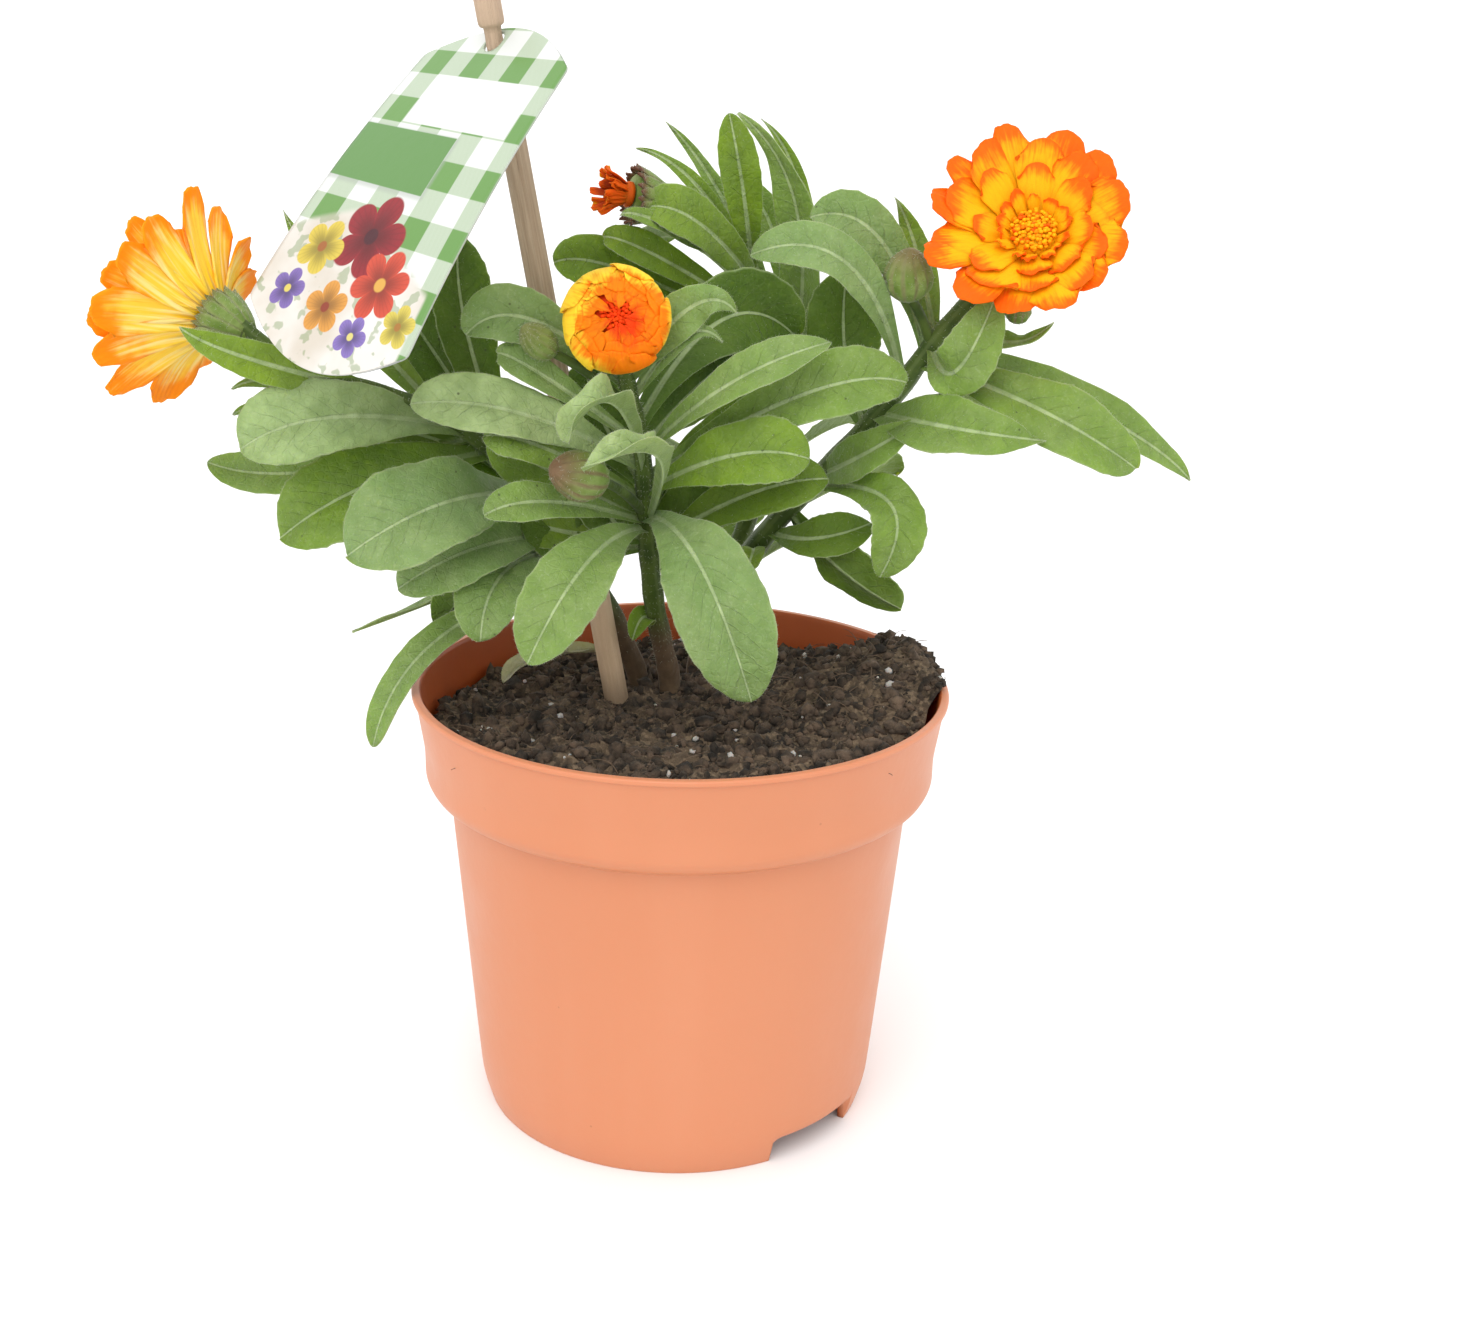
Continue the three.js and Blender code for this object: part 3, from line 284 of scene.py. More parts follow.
# The right bloom's outermost petals: angle in degrees, length and width
RIGHT_PETALS = [
    (108, 23.5, 9.5), (145, 22.5, 8.0), (172, 22.5, 9.5), (204, 25.0, 10.0), (233, 24.5, 11.0),
    (262, 20.0, 12.5), (287, 21.5, 12.0), (317, 18.5, 12.5), (347, 19.0, 12.5), (18, 20.5, 13.5),
    (47, 21.0, 13.5), (75, 22.0, 13.5),
]
MEAN_RIGHT_PETAL = 21.7
BALL_EYE = (1.8, -1.4)  # middle of the closed bloom's red eye
CUP_LENGTH = 9.0
PETAL_THICKNESS = 0.5
PETAL_FOLD = math.radians(6)
PETAL_ROLL = math.radians(8)
FOOT_LOOK = 0.25  # share of a petal's length whose colour the cores have
GOLDEN_ANGLE = 2.39996

# Buds: the stem that carries each, share of it, foot, tip, radius and how brown its bracts are
BUDS = [
    ("right", 0.7, (50, -1, 202), (50.5, -3, 214), 6.0, 0.5),
    ("right", 0.86, (75, -3, 198), (76, -6, 204), 3.2, 0.8),
    ("front", 0.42, (-18, -24, 163.5), (-29.5, -31.5, 168.5), 6.0, 0.85),
    ("front", 0.72, (-30, -17, 191), (-36, -23, 198), 4.0, 0.1),
]

# Camera: the photograph's width and the focal length, in its pixels
PHOTO_WIDTH = 1460
FOCAL_PIXELS = 2180.0
SENSOR_WIDTH = 36.0

random = np.random.default_rng(7)


# Vectors and curves


def unit(v):
    v = np.asarray(v, float)
    return v / np.linalg.norm(v, axis=-1, keepdims=True)


def smoothstep(x, low, high):
    t = np.clip((np.asarray(x, float) - low) / (high - low), 0, 1)
    return t * t * (3 - 2 * t)


def lerp(a, b, t):
    return a + (b - a) * t


def arc(a, control, b, t):
    """The curve from a to b that leaves and arrives along the lines to control."""
    return (1 - t) ** 2 * a + 2 * t * (1 - t) * control + t**2 * b


def around(count):
    """Angles at equal steps of one turn."""
    return 2 * np.pi * np.arange(count) / count


def jitter(amount):
    return amount * random.uniform(-1, 1)


def turned(v, axis, angle):
    cos, sin = math.cos(angle), math.sin(angle)
    return v * cos + np.cross(axis, v) * sin + axis * np.dot(axis, v) * (1 - cos)


def stem_at(name, share):
    """The stem's own smooth curve, through its points at equal steps of its share."""
    points = np.array(STEMS[name][0], float)
    last = len(points) - 1
    place = min(share, 0.999999) * last
    i = int(place)
    t = place - i
    before = points[i - 1] if i > 0 else 2 * points[0] - points[1]
    after = points[i + 2] if i + 2 <= last else 2 * points[last] - points[last - 1]
    a, b = points[i], points[i + 1]
    start, end = 0.5 * (b - before), 0.5 * (after - a)
    near = (2 * t**3 - 3 * t**2 + 1) * a + (t**3 - 2 * t**2 + t) * start
    return near + (3 * t**2 - 2 * t**3) * b + (t**3 - t**2) * end


def lattice(p, seed):
    """Smooth noise between 0 and 1 at points in 3-D."""
    cell = np.floor(p)
    f = p - cell
    f = f * f * (3 - 2 * f)
    total = np.zeros(len(p))
    for corner in range(8):
        d = np.array([corner & 1, corner >> 1 & 1, corner >> 2 & 1])
        c = cell + d
        h = np.sin(c[:, 0] * 127.1 + c[:, 1] * 311.7 + c[:, 2] * 74.7 + seed * 19.19) * 43758.5453
        weight = np.prod(np.where(d == 1, f, 1 - f), axis=1)
        total += weight * (h - np.floor(h))
    return total


def noise(p, size, seed=0, octaves=3):
    """Octaves of smooth noise between 0 and 1, the coarsest with lumps of the given size."""
    p = np.asarray(p, float).reshape(-1, 3) / size
    total, weight, full = np.zeros(len(p)), 1.0, 0.0
    for k in range(octaves):
        total += weight * lattice(p * 2**k, seed + 7 * k)
        full += weight
        weight *= 0.5
    return total / full


# Meshes


class Piece:
    """Points in millimetres round the pot's axis, their faces, and the place and tone that materials read."""

    def __init__(self, name):
        self.name = name
        self.points, self.faces, self.place, self.tone, self.slots = [], [], [], [], []
        self.count = 0

    def add(self, points, faces, place=(0, 0, 0), tone=(0, 0, 0, 0), slot=0):
        points = np.asarray(points, float).reshape(-1, 3)
        n = len(points)
        self.points.append(points)
        self.place.append(np.broadcast_to(np.asarray(place, float), (n, 3)))
        self.tone.append(np.broadcast_to(np.asarray(tone, float), (n, 4)))
        for kind in faces:
            kind = np.asarray(kind, int)
            if len(kind):
                self.faces.append(kind + self.count)
                self.slots.append(np.full(len(kind), slot))
        self.count += n

    def metres(self):
        return (np.concatenate(self.points) + SHIFT) / 1000

    def make(self, materials, nodes):
        points = self.metres()
        sizes = np.concatenate([np.full(len(f), f.shape[1]) for f in self.faces])
        corners = np.concatenate([f.ravel() for f in self.faces])
        starts = np.concatenate([[0], np.cumsum(sizes)[:-1]])
        mesh = bpy.data.meshes.new(self.name)
        mesh.vertices.add(len(points))
        mesh.vertices.foreach_set("co", points.astype(np.float32).ravel())
        mesh.loops.add(len(corners))
        mesh.loops.foreach_set("vertex_index", corners.astype(np.int32))
        mesh.polygons.add(len(sizes))
        mesh.polygons.foreach_set("loop_start", starts.astype(np.int32))
        mesh.polygons.foreach_set("material_index", np.concatenate(self.slots).astype(np.int32))
        mesh.polygons.foreach_set("use_smooth", np.ones(len(sizes), bool))
        place = mesh.attributes.new("place", "FLOAT_VECTOR", "POINT")
        place.data.foreach_set("vector", np.concatenate(self.place).astype(np.float32).ravel())
        tone = mesh.attributes.new("tone", "FLOAT_COLOR", "POINT")
        tone.data.foreach_set("color", np.concatenate(self.tone).astype(np.float32).ravel())
        mesh.update(calc_edges=True)
        mesh.validate()
        for material in materials:
            mesh.materials.append(material)
        made = bpy.data.objects.new(self.name, mesh)
        bpy.context.scene.collection.objects.link(made)
        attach(made, "root")
        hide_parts(*nodes)
        return made


class Blade:
    """A thin sheet made row by row, each row a ring over its upper side and back under it."""

    def __init__(self):
        self.rings, self.places, self.tones = [], [], []

    def add_row(self, upper, lower, across, along, edge, tone, below=1):
        """below is the third part of the tone on the lower side."""
        self.rings.append(np.concatenate([upper, lower[::-1]]))
        line = np.stack([across, np.broadcast_to(along, across.shape), edge], -1)
        self.places.append(np.concatenate([line, line[::-1]]))
        tones = np.tile(np.array(tone, float), (2 * len(across), 1))
        tones[len(across) :, 2] = below
        self.tones.append(tones)

    def join(self, piece, slot):
        piece.add(*loft(self.rings), np.concatenate(self.places), np.concatenate(self.tones), slot)


def sheet_sides(centre, across, offsets, normal, heights):
    """A row of points on each side of a sheet, at offsets across it and heights along its normal."""
    flat = centre + np.outer(offsets, across)
    return [flat + np.outer(height, normal) for height in heights]


def signed_volume(p, faces):
    """Six times the volume that the faces enclose."""
    total = 0.0
    for k in range(faces.shape[1] - 2):
        total += np.einsum("ij,ij->", np.cross(p[faces[:, 0]], p[faces[:, k + 1]]), p[faces[:, k + 2]])
    return total


def ring_quads(rows, n):
    """The faces between rings of n points that follow each other."""
    k, i = np.meshgrid(np.arange(rows), np.arange(n), indexing="ij")
    a = k * n + i
    b = k * n + (i + 1) % n
    return np.stack([a, b, b + n, a + n], -1).reshape(-1, 4)


def loft(rings, ends="strip"):
    """Closed skin over rings of equal length: its points and faces, turned outwards."""
    rings = np.asarray(rings, float)
    rows, n, _ = rings.shape
    quads = ring_quads(rows - 1, n)
    points = rings.reshape(-1, 3)
    tris = np.zeros((0, 3), int)
    last = (rows - 1) * n
    if ends == "strip":
        j = np.arange(n // 2 - 1)
        low = np.stack([j + 1, j, n - 1 - j, n - 2 - j], -1)
        high = np.stack([last + j, last + j + 1, last + n - 2 - j, last + n - 1 - j], -1)
        quads = np.concatenate([quads, low, high])
    else:
        points = np.concatenate([points, rings[0].mean(0)[None], rings[-1].mean(0)[None]])
        j = np.arange(n)
        low = np.stack([(j + 1) % n, j, np.full(n, rows * n)], -1)
        high = np.stack([last + j, last + (j + 1) % n, np.full(n, rows * n + 1)], -1)
        tris = np.concatenate([low, high])
    p = points - points.mean(0)
    if signed_volume(p, quads) + signed_volume(p, tris) < 0:
        quads, tris = quads[:, ::-1], tris[:, ::-1]
    return points, [quads, tris]


def round_rings(path, radii, sides, ridge=0.0, ridges=5):
    """Rings square to a path, round or with low ridges along them."""
    path = np.asarray(path, float)
    side = np.array([1.0, 0, 0])
    rings = []
    angle = around(sides)
    for k in range(len(path)):
        along = unit(path[min(k + 1, len(path) - 1)] - path[max(k - 1, 0)])
        side = unit(side - along * side.dot(along))
        across = np.cross(along, side)
        r = radii[k] * (1 + ridge * np.cos(ridges * angle))
        rings.append(path[k] + np.outer(r * np.cos(angle), side) + np.outer(r * np.sin(angle), across))
    return np.array(rings)


def tube(path, radii, sides, ridge=0.0):
    return loft(round_rings(path, radii, sides, ridge), "fan")


def spread(rings, factor):
    """The rings drawn in or out from their middles."""
    centre = rings.mean(1, keepdims=True)
    return centre + (rings - centre) * factor[..., None]


def add_hairs(piece, roots, ways, lengths, slot, width=0.07):
    """Fine three-sided cones that stand on the roots, their lengths drawn between two values."""
    lengths = random.uniform(*lengths, len(roots))
    roots, ways = np.asarray(roots, float), unit(ways)
    helper = np.where(np.abs(ways[:, 2:3]) < 0.8, [[0, 0, 1.0]], [[1.0, 0, 0]])
    a = unit(np.cross(ways, helper))
    b = np.cross(ways, a)
    angle = around(3)
    base = roots[:, None] - 0.1 * ways[:, None] + width / 2 * (
        a[:, None] * np.cos(angle)[None, :, None] + b[:, None] * np.sin(angle)[None, :, None]
    )
    tips = roots + ways * lengths[:, None]
    points = np.concatenate([base, tips[:, None]], 1)
    start = 4 * np.arange(len(roots))[:, None, None]
    faces = (start + np.array([[0, 1, 3], [1, 2, 3], [2, 0, 3], [0, 2, 1]])).reshape(-1, 3)
    piece.add(points, [faces], slot=slot)


# Materials


class Value:
    """Something that a material works out at each point, with the usual arithmetic."""

    def __init__(self, shader, socket):
        self.shader, self.socket = shader, socket

    def __mul__(self, other):
        return self.shader.math("MULTIPLY", self, other)

    def __add__(self, other):
        return self.shader.math("ADD", self, other)

    def __sub__(self, other):
        return self.shader.math("SUBTRACT", self, other)

    def __rsub__(self, other):
        return self.shader.math("SUBTRACT", other, self)

    def __truediv__(self, other):
        return self.shader.math("DIVIDE", self, other)


class Shader:
    """A material with one Principled shader and short calls for the nodes that feed it."""

    def __init__(self, name, **sockets):
        self.material = bpy.data.materials.new(name)
        self.material.use_nodes = True
        self.tree = self.material.node_tree
        self.shader = self.tree.nodes["Principled BSDF"]
        self.colour, self.relief = None, None
        for key, value in sockets.items():
            self.shader.inputs[key.replace("_", " ")].default_value = value

    def feed(self, socket, value):
        if isinstance(value, Value):
            self.tree.links.new(value.socket, socket)
        else:
            socket.default_value = value

    def node(self, kind, inputs, output=0, **settings):
        """A new node with its settings and inputs, by name or number. Gives one of its outputs."""
        made = self.tree.nodes.new(kind)
        for key, value in settings.items():
            setattr(made, key, value)
        for key, value in inputs.items():
            self.feed(made.inputs[key], value)
        return Value(self, made.outputs[output])

    def math(self, operation, a, b=0.0):
        return self.node("ShaderNodeMath", {0: a, 1: b}, operation=operation)

    def mix(self, share, a, b):
        a, b = (colour if isinstance(colour, Value) else (*colour, 1) for colour in (a, b))
        return self.node("ShaderNodeMix", {0: share, 6: a, 7: b}, 2, data_type="RGBA")

    def coat(self, share, colour):
        """Lays a colour over the one so far, as densely as share says."""
        self.colour = self.mix(share, self.colour, colour)

    def step(self, value, low, high, at_low=0.0, at_high=1.0):
        """Smoothly from at_low to at_high while the value goes from low to high."""
        inputs = {"Value": value, "From Min": low, "From Max": high, "To Min": at_low, "To Max": at_high}
        return self.node("ShaderNodeMapRange", inputs, interpolation_type="SMOOTHSTEP")

    def fall(self, value, low, high):
        return self.step(value, low, high, 1.0, 0.0)

    def inside(self, value, low, high, soft=0.15):
        return self.step(value, low - soft, low + soft) * self.fall(value, high - soft, high + soft)

    def stored(self, name, output):
        return self.node("ShaderNodeAttribute", {}, output, attribute_name=name)

    def parts(self, kind, value):
        return [Value(self, output) for output in self.node(kind, {0: value}).socket.node.outputs]

    def place(self):
        """The three parts of the place that the piece stores at each point."""
        return self.parts("ShaderNodeSeparateXYZ", self.stored("place", "Vector"))

    def tone(self):
        """The first three parts of the tone that the piece stores at each point."""
        return self.parts("ShaderNodeSeparateColor", self.stored("tone", "Color"))

    def scaled(self, vector, scale):
        return self.node("ShaderNodeMapping", {"Vector": vector, "Scale": scale})

    def where(self, scale=(1, 1, 1)):
        """Object coordinates in metres times a scale."""
        return self.scaled(self.node("ShaderNodeTexCoord", {}, "Object"), scale)

    def vector(self, x, y, z):
        return self.node("ShaderNodeCombineXYZ", {"X": x, "Y": y, "Z": z})

    def noise(self, scale, detail=3.0, vector=None, distortion=0.0):
        inputs = {
            "Vector": vector or self.where(), "Scale": scale, "Detail": detail, "Distortion": distortion,
        }
        return self.node("ShaderNodeTexNoise", inputs, "Fac")

    def cells(self, scale, feature="F1"):
        inputs = {"Vector": self.where(), "Scale": scale}
        return self.node("ShaderNodeTexVoronoi", inputs, "Distance", feature=feature)

    def bump(self, height, distance, strength=1.0):
        """Relief of up to distance, in metres, on top of the relief so far."""
        inputs = {"Height": height, "Distance": distance, "Strength": strength}
        if self.relief:
            inputs["Normal"] = self.relief
        self.relief = self.node("ShaderNodeBump", inputs)
        self.feed(self.shader.inputs["Normal"], self.relief)

    def done(self):
        self.feed(self.shader.inputs["Base Color"], self.colour)
        return self.material


def leaf_material():
    s = Shader(
        "leaf", Roughness=0.6, Specular_IOR_Level=0.3, Subsurface_Weight=0.2, Subsurface_Scale=0.0015,
        Subsurface_Radius=(0.8, 1.0, 0.15), Sheen_Weight=0.12, Sheen_Roughness=0.4,
        Sheen_Tint=(0.9, 1.0, 0.8, 1),
    )
    across, along, edge = s.place()
    chance, green_and_painted_light, under = s.tone()
    share = s.stored("tone", "Alpha")
    off = s.math("ABSOLUTE", across)
    grey = s.mix(chance, (0.176, 0.272, 0.094), (0.156, 0.250, 0.070))
    fresh = s.mix(chance, (0.140, 0.235, 0.006), (0.175, 0.270, 0.012))
    # A deep dark green for the leaves inside the plant: partly their own deeper green, partly painted shade.
    deep_green_and_shade = s.mix(chance, (0.022, 0.060, 0.001), (0.045, 0.095, 0.003))
    s.colour = s.mix(s.step(green_and_painted_light, 0.0, 0.65), grey, fresh)
    s.coat(s.step(green_and_painted_light, 0.6, 1.0), deep_green_and_shade)
    # Down to -0.35 the leaf is painted paler: painted light on the leaves that face the light.
    s.coat(s.fall(green_and_painted_light, -0.35, 0.0), (0.34, 0.44, 0.19))
    pale = 1.0 - s.step(green_and_painted_light, 0.2, 0.8) * 0.7
    cloudy = s.step(s.noise(110, 4), 0.35, 0.7)
    s.coat(cloudy * 0.5, s.mix(s.step(green_and_painted_light, 0.1, 0.8), (0.21, 0.275, 0.105), (0.10, 0.17, 0.012)))
    s.coat(under * 0.5, (0.125, 0.19, 0.03))
    slant = along - off * (off * 0.07 + 0.9)
    side = s.math("PINGPONG", slant + s.noise(140, 2) * 4.0, 2.4)
    veins = s.fall(side, 0.0, 0.3) * s.fall(edge, 0.3, 0.9)
    s.coat(veins * pale * 0.13, (0.28, 0.35, 0.15))
    net = s.fall(s.cells(560, "DISTANCE_TO_EDGE"), 0.0, 0.14)
    s.coat(net * pale * 0.16, (0.26, 0.34, 0.14))
    rib = s.fall(off / (0.88 - share * 0.66), 0.5, 1.1)
    s.coat(rib * 0.72, (0.42, 0.51, 0.27))
    s.coat(s.step(edge, 0.94, 1.0) * 0.6, (0.36, 0.43, 0.23))
    down = s.step(s.noise(1500, 2), 0.55, 0.72)
    s.coat(down * pale * 0.22, (0.38, 0.44, 0.26))
    specks = s.fall(s.cells(240), 0.04, 0.1) * s.step(s.noise(45, 2), 0.5, 0.58)
    s.coat(specks * 0.8, (0.035, 0.03, 0.015))
    s.coat(s.fall(share, 0.0, 0.4) * 0.45, (0.05, 0.10, 0.006))
    patches = s.step(s.noise(230, 3), 0.35, 0.65)
    s.coat(patches * 0.34, s.mix(s.step(green_and_painted_light, 0.1, 0.8), (0.095, 0.165, 0.032), (0.06, 0.12, 0.004)))
    withered = s.mix(s.noise(400, 3), (0.34, 0.31, 0.17), (0.48, 0.46, 0.32))
    s.coat(s.fall(green_and_painted_light, -0.9, -0.4), withered)
    s.bump(veins * 0.3 + rib * 0.5, 0.0004)
    s.bump(s.noise(210, 3), 0.0014, 0.6)
    s.bump(s.noise(800, 3) + net * -0.3, 0.00022)
    return s.done()


def stem_material():
    s = Shader("stem", Roughness=0.6, Specular_IOR_Level=0.3, Sheen_Weight=0.1)
    angle, _, height = s.place()
    s.colour = s.mix(s.step(s.noise(150, 3), 0.3, 0.7), (0.030, 0.060, 0.003), (0.075, 0.12, 0.014))
    stripes = s.step(s.math("SINE", angle * 5.0), 0.2, 0.9)
    s.coat(stripes * 0.25, (0.15, 0.20, 0.06))
    woody = s.mix(s.noise(400, 4), (0.055, 0.035, 0.018), (0.17, 0.11, 0.06))
    s.coat(s.fall(height, 112.0, 124.0), woody)
    s.bump(s.noise(700, 3), 0.0003)
    return s.done()


def bract_material():
    s = Shader("bract", Roughness=0.6, Specular_IOR_Level=0.3, Sheen_Weight=0.12, Sheen_Roughness=0.4)
    _, along, side = s.place()
    brown, brown_edge, _ = s.tone()
    s.colour = s.mix(s.step(s.noise(300, 3), 0.3, 0.7), (0.105, 0.175, 0.02), (0.19, 0.26, 0.065))
    edge = s.step(side, 0.45, 1.0)
    s.coat(edge * 0.5, (0.26, 0.30, 0.13))
    dry = s.math("MAXIMUM", s.step(along, 0.5, 0.95), edge * brown_edge) * brown
    s.coat(dry, s.mix(s.noise(500, 2), (0.085, 0.03, 0.016), (0.20, 0.10, 0.06)))
    s.bump(s.noise(800, 3), 0.0003)
    return s.done()


def petal_material(name, colours, under, under_share, rim, spans, streak=0.0, pale=0.0):
    """Three colours from base to tip over the given spans. rim: how far the tip's runs down the edges.
    streak and pale: how strong the dark lines at the foot and the pale bands are."""
    s = Shader(
        name, Roughness=0.6, Specular_IOR_Level=0.12, Subsurface_Weight=0.3, Subsurface_Scale=0.0015,
        Subsurface_Radius=(1.0, 0.6, 0.2),
    )
    across, along, edge = s.place()
    chance, _, below = s.tone()
    base, middle, tip = colours
    strands = s.noise(1.4, 3, s.vector(across * 1.3, along * 2.2, chance * 40.0))
    share = along + (chance - 0.5) * 0.16 + (strands - 0.5) * 0.34 + (s.noise(190, 3) - 0.5) * 0.5
    share = share + s.math("POWER", edge, 3.0) * rim
    s.colour = s.mix(s.step(share, *spans[:2]), base, middle)
    s.coat(s.step(share, *spans[2:]), tip)
    s.coat(s.step(strands, 0.5, 0.7) * 0.18, tip)
    if pale:
        wide = s.vector(across * 0.75, along * 0.9, chance * 90.0)
        bands = s.step(s.noise(1.2, 3, wide), 0.44, 0.66) * s.fall(share, 0.6, 0.95)
        s.coat(bands * pale, (0.93, 0.76, 0.36))
    if streak:
        foot = s.fall(along, 0.05, 0.4) * s.step(s.math("SINE", across * 3.1), 0.1, 0.9)
        s.coat(foot * streak, (0.30, 0.10, 0.02))
    s.coat(below * under_share, s.mix(s.step(share, 0.55, 0.95), under, tip))
    s.bump(s.math("SINE", across * 4.2), 0.00003)
    s.bump(s.noise(500, 2), 0.00008)
    return s.done()


def hair_material():
    s = Shader("plant_hair", Roughness=0.5, Sheen_Weight=0.3)
    s.colour = s.mix(s.noise(300, 1), (0.40, 0.45, 0.30), (0.55, 0.58, 0.45))
    return s.done()


def pot_material():
    s = Shader("pot_plastic", Roughness=0.42, Subsurface_Weight=0.08, Subsurface_Scale=0.004)
    inner, collar, _ = s.place()
    s.colour = s.mix(s.step(s.noise(9, 3), 0.3, 0.7), (0.545, 0.195, 0.088), (0.57, 0.212, 0.100))
    streaks = s.step(s.noise(60, 2, s.where((1, 1, 0.06))), 0.45, 0.7)
    s.coat(streaks * 0.15, (0.60, 0.245, 0.13))
    # The inside of the wall is painted a deeper, darker orange: painted shade.
    s.coat(inner * 0.92, (0.44, 0.085, 0.012))
    grime = s.fall(s.cells(330), 0.1, 0.2) * s.step(s.noise(70, 3), 0.58, 0.68)
    s.coat(grime * collar, (0.06, 0.03, 0.018))
    dust = s.fall(s.cells(90), 0.02, 0.035)
    s.coat(dust * 0.35, (0.25, 0.09, 0.04))
    s.feed(s.shader.inputs["Roughness"], s.step(s.noise(35, 4), 0.2, 0.8, 0.36, 0.5))
    s.bump(s.noise(450, 3), 0.00006)
    s.bump(s.noise(25, 2, s.where((1, 1, 0.15))), 0.0003, 0.4)
    return s.done()


def peat_material():
    s = Shader("peat", Roughness=0.95)
    s.colour = s.mix(s.step(s.noise(140, 6), 0.3, 0.7), (0.018, 0.012, 0.007), (0.135, 0.092, 0.055))
    fibres = s.step(s.noise(120, 5, s.where((1, 3.5, 1)), 1.5), 0.6, 0.72)
    s.coat(fibres * 0.55, (0.12, 0.08, 0.05))
    grains = s.step(s.noise(620, 4), 0.5, 0.62)
    s.coat(grains * 0.65, (0.22, 0.155, 0.096))
    # Near-black spots where the noise dips: painted shade in the pits of the peat.
    painted_pit_shade = s.fall(s.noise(330, 4), 0.34, 0.46)
    s.coat(painted_pit_shade * 0.85, (0.007, 0.005, 0.003))
    grit = s.fall(s.cells(700), 0.06, 0.14) * s.step(s.noise(90, 2), 0.55, 0.65)
    s.coat(grit, (0.30, 0.26, 0.21))
    s.bump(s.noise(260, 6), 0.0022)
    s.bump(s.noise(1100, 4), 0.0007)
    return s.done()


def crumb_material():
    s = Shader("peat_crumb", Roughness=0.95)
    s.colour = s.mix(s.step(s.noise(230, 4), 0.3, 0.75), (0.014, 0.010, 0.006), (0.135, 0.09, 0.058))
    s.bump(s.noise(900, 4), 0.0009)
    return s.done()


def perlite_material():
    s = Shader("perlite", Roughness=0.8, Subsurface_Weight=0.2, Subsurface_Scale=0.001)
    s.colour = s.mix(s.noise(500, 3), (0.34, 0.31, 0.27), (0.55, 0.53, 0.50))
    s.bump(s.noise(1500, 3), 0.0004)
    return s.done()


def fibre_material():
    s = Shader("peat_fibre", Roughness=0.8)
    s.colour = s.mix(s.noise(250, 2), (0.05, 0.03, 0.018), (0.19, 0.125, 0.075))
    return s.done()


def wood_material():
    s = Shader("stake_wood", Roughness=0.6)
    place = s.stored("place", "Vector")
    height = s.place()[2]
    grain = s.noise(1.0, 5, s.scaled(place, (1.3, 1.3, 0.03)), 0.4)
    fine = s.noise(1.0, 3, s.scaled(place, (6, 6, 0.08)))
    s.colour = s.mix(s.step(grain, 0.3, 0.7), (0.34, 0.24, 0.15), (0.47, 0.36, 0.245))
    s.coat(s.step(fine, 0.5, 0.75) * 0.45, (0.22, 0.15, 0.09))
    s.coat(s.step(height, 206.0, 214.0) * 0.7, (0.50, 0.35, 0.24))
    # The lower part of the stake is painted paler: painted light that lifts the shade it stands in.
    s.coat(s.fall(height, 110.0, 150.0) * 0.6, (0.70, 0.50, 0.31))
    s.coat(s.fall(height, 58.0, 70.0) * 0.6, (0.08, 0.05, 0.03))
    s.bump(grain + fine, 0.0003)
    return s.done()


FLOWERS = [  # across, down, radius, petals, turn, petal colour, eye colour
    (4.0, 53.0, 10.5, 5, 0.3, (0.24, 0.010, 0.016), (0.05, 0.003, 0.008)),
    (14.5, 62.5, 8.5, 6, 0.9, (0.50, 0.055, 0.025), (0.55, 0.30, 0.05)),
    (-9.0, 58.5, 7.0, 5, 0.1, (0.55, 0.42, 0.05), (0.28, 0.09, 0.015)),
    (-12.0, 70.0, 5.2, 5, 0.6, (0.17, 0.11, 0.34), (0.55, 0.45, 0.09)),
    (2.0, 71.0, 6.4, 5, 1.2, (0.56, 0.25, 0.04), (0.21, 0.03, 0.01)),
    (13.5, 75.0, 4.8, 5, 0.2, (0.19, 0.13, 0.38), (0.55, 0.48, 0.15)),
    (25.5, 69.5, 5.0, 5, 0.8, (0.54, 0.44, 0.07), (0.30, 0.13, 0.02)),
]


def print_check(s, across, down):
    """A woven check: squares where a column crosses a row, and stripes where there is only one."""
    column = s.fall(s.math("PINGPONG", across - 0.4, 7.55), 3.6, 3.9)
    row = s.fall(s.math("PINGPONG", down - 7.1, 7.1), 3.4, 3.7)
    weave = s.math("SINE", across * 14.0) * s.math("SINE", down * 14.0)
    single = s.mix(s.step(weave, -0.2, 0.3), (0.42, 0.48, 0.385), (0.345, 0.43, 0.29))
    s.colour = s.mix(s.math("MAXIMUM", column, row), (0.62, 0.635, 0.61), single)
    s.coat(column * row, (0.115, 0.25, 0.06))


def print_panels(s, across, down):
    """A pale band, a green panel with its shadow, and the cloth and leaves behind the flowers."""
    s.coat(s.inside(across, -10.6, 26.5) * s.inside(down, 10.5, 24.4), (0.63, 0.64, 0.62))
    shadow = s.inside(across, -22.0, 12.6, 0.7) * s.inside(down, 26.0, 42.3, 0.7)
    s.coat(shadow * 0.5, (0.28, 0.31, 0.27))
    s.coat(s.inside(across, -22.0, 11.6) * s.inside(down, 26.2, 41.2), (0.10, 0.225, 0.06))
    rise = s.math("ABSOLUTE", across + 4.0) * 0.42 + 46.5
    scene = s.step(down - rise, -0.3, 2.2) * s.fall(across, 28.8, 30.0)
    s.coat(scene, s.mix(s.step(s.noise(60, 3), 0.3, 0.7), (0.52, 0.47, 0.40), (0.64, 0.62, 0.58)))
    place = s.scaled(s.stored("place", "Vector"), (0.22, 0.22, 0.22))
    leaves = s.step(s.noise(1.0, 2, place), 0.56, 0.6)
    s.coat(leaves * scene * 0.5, (0.13, 0.22, 0.06))


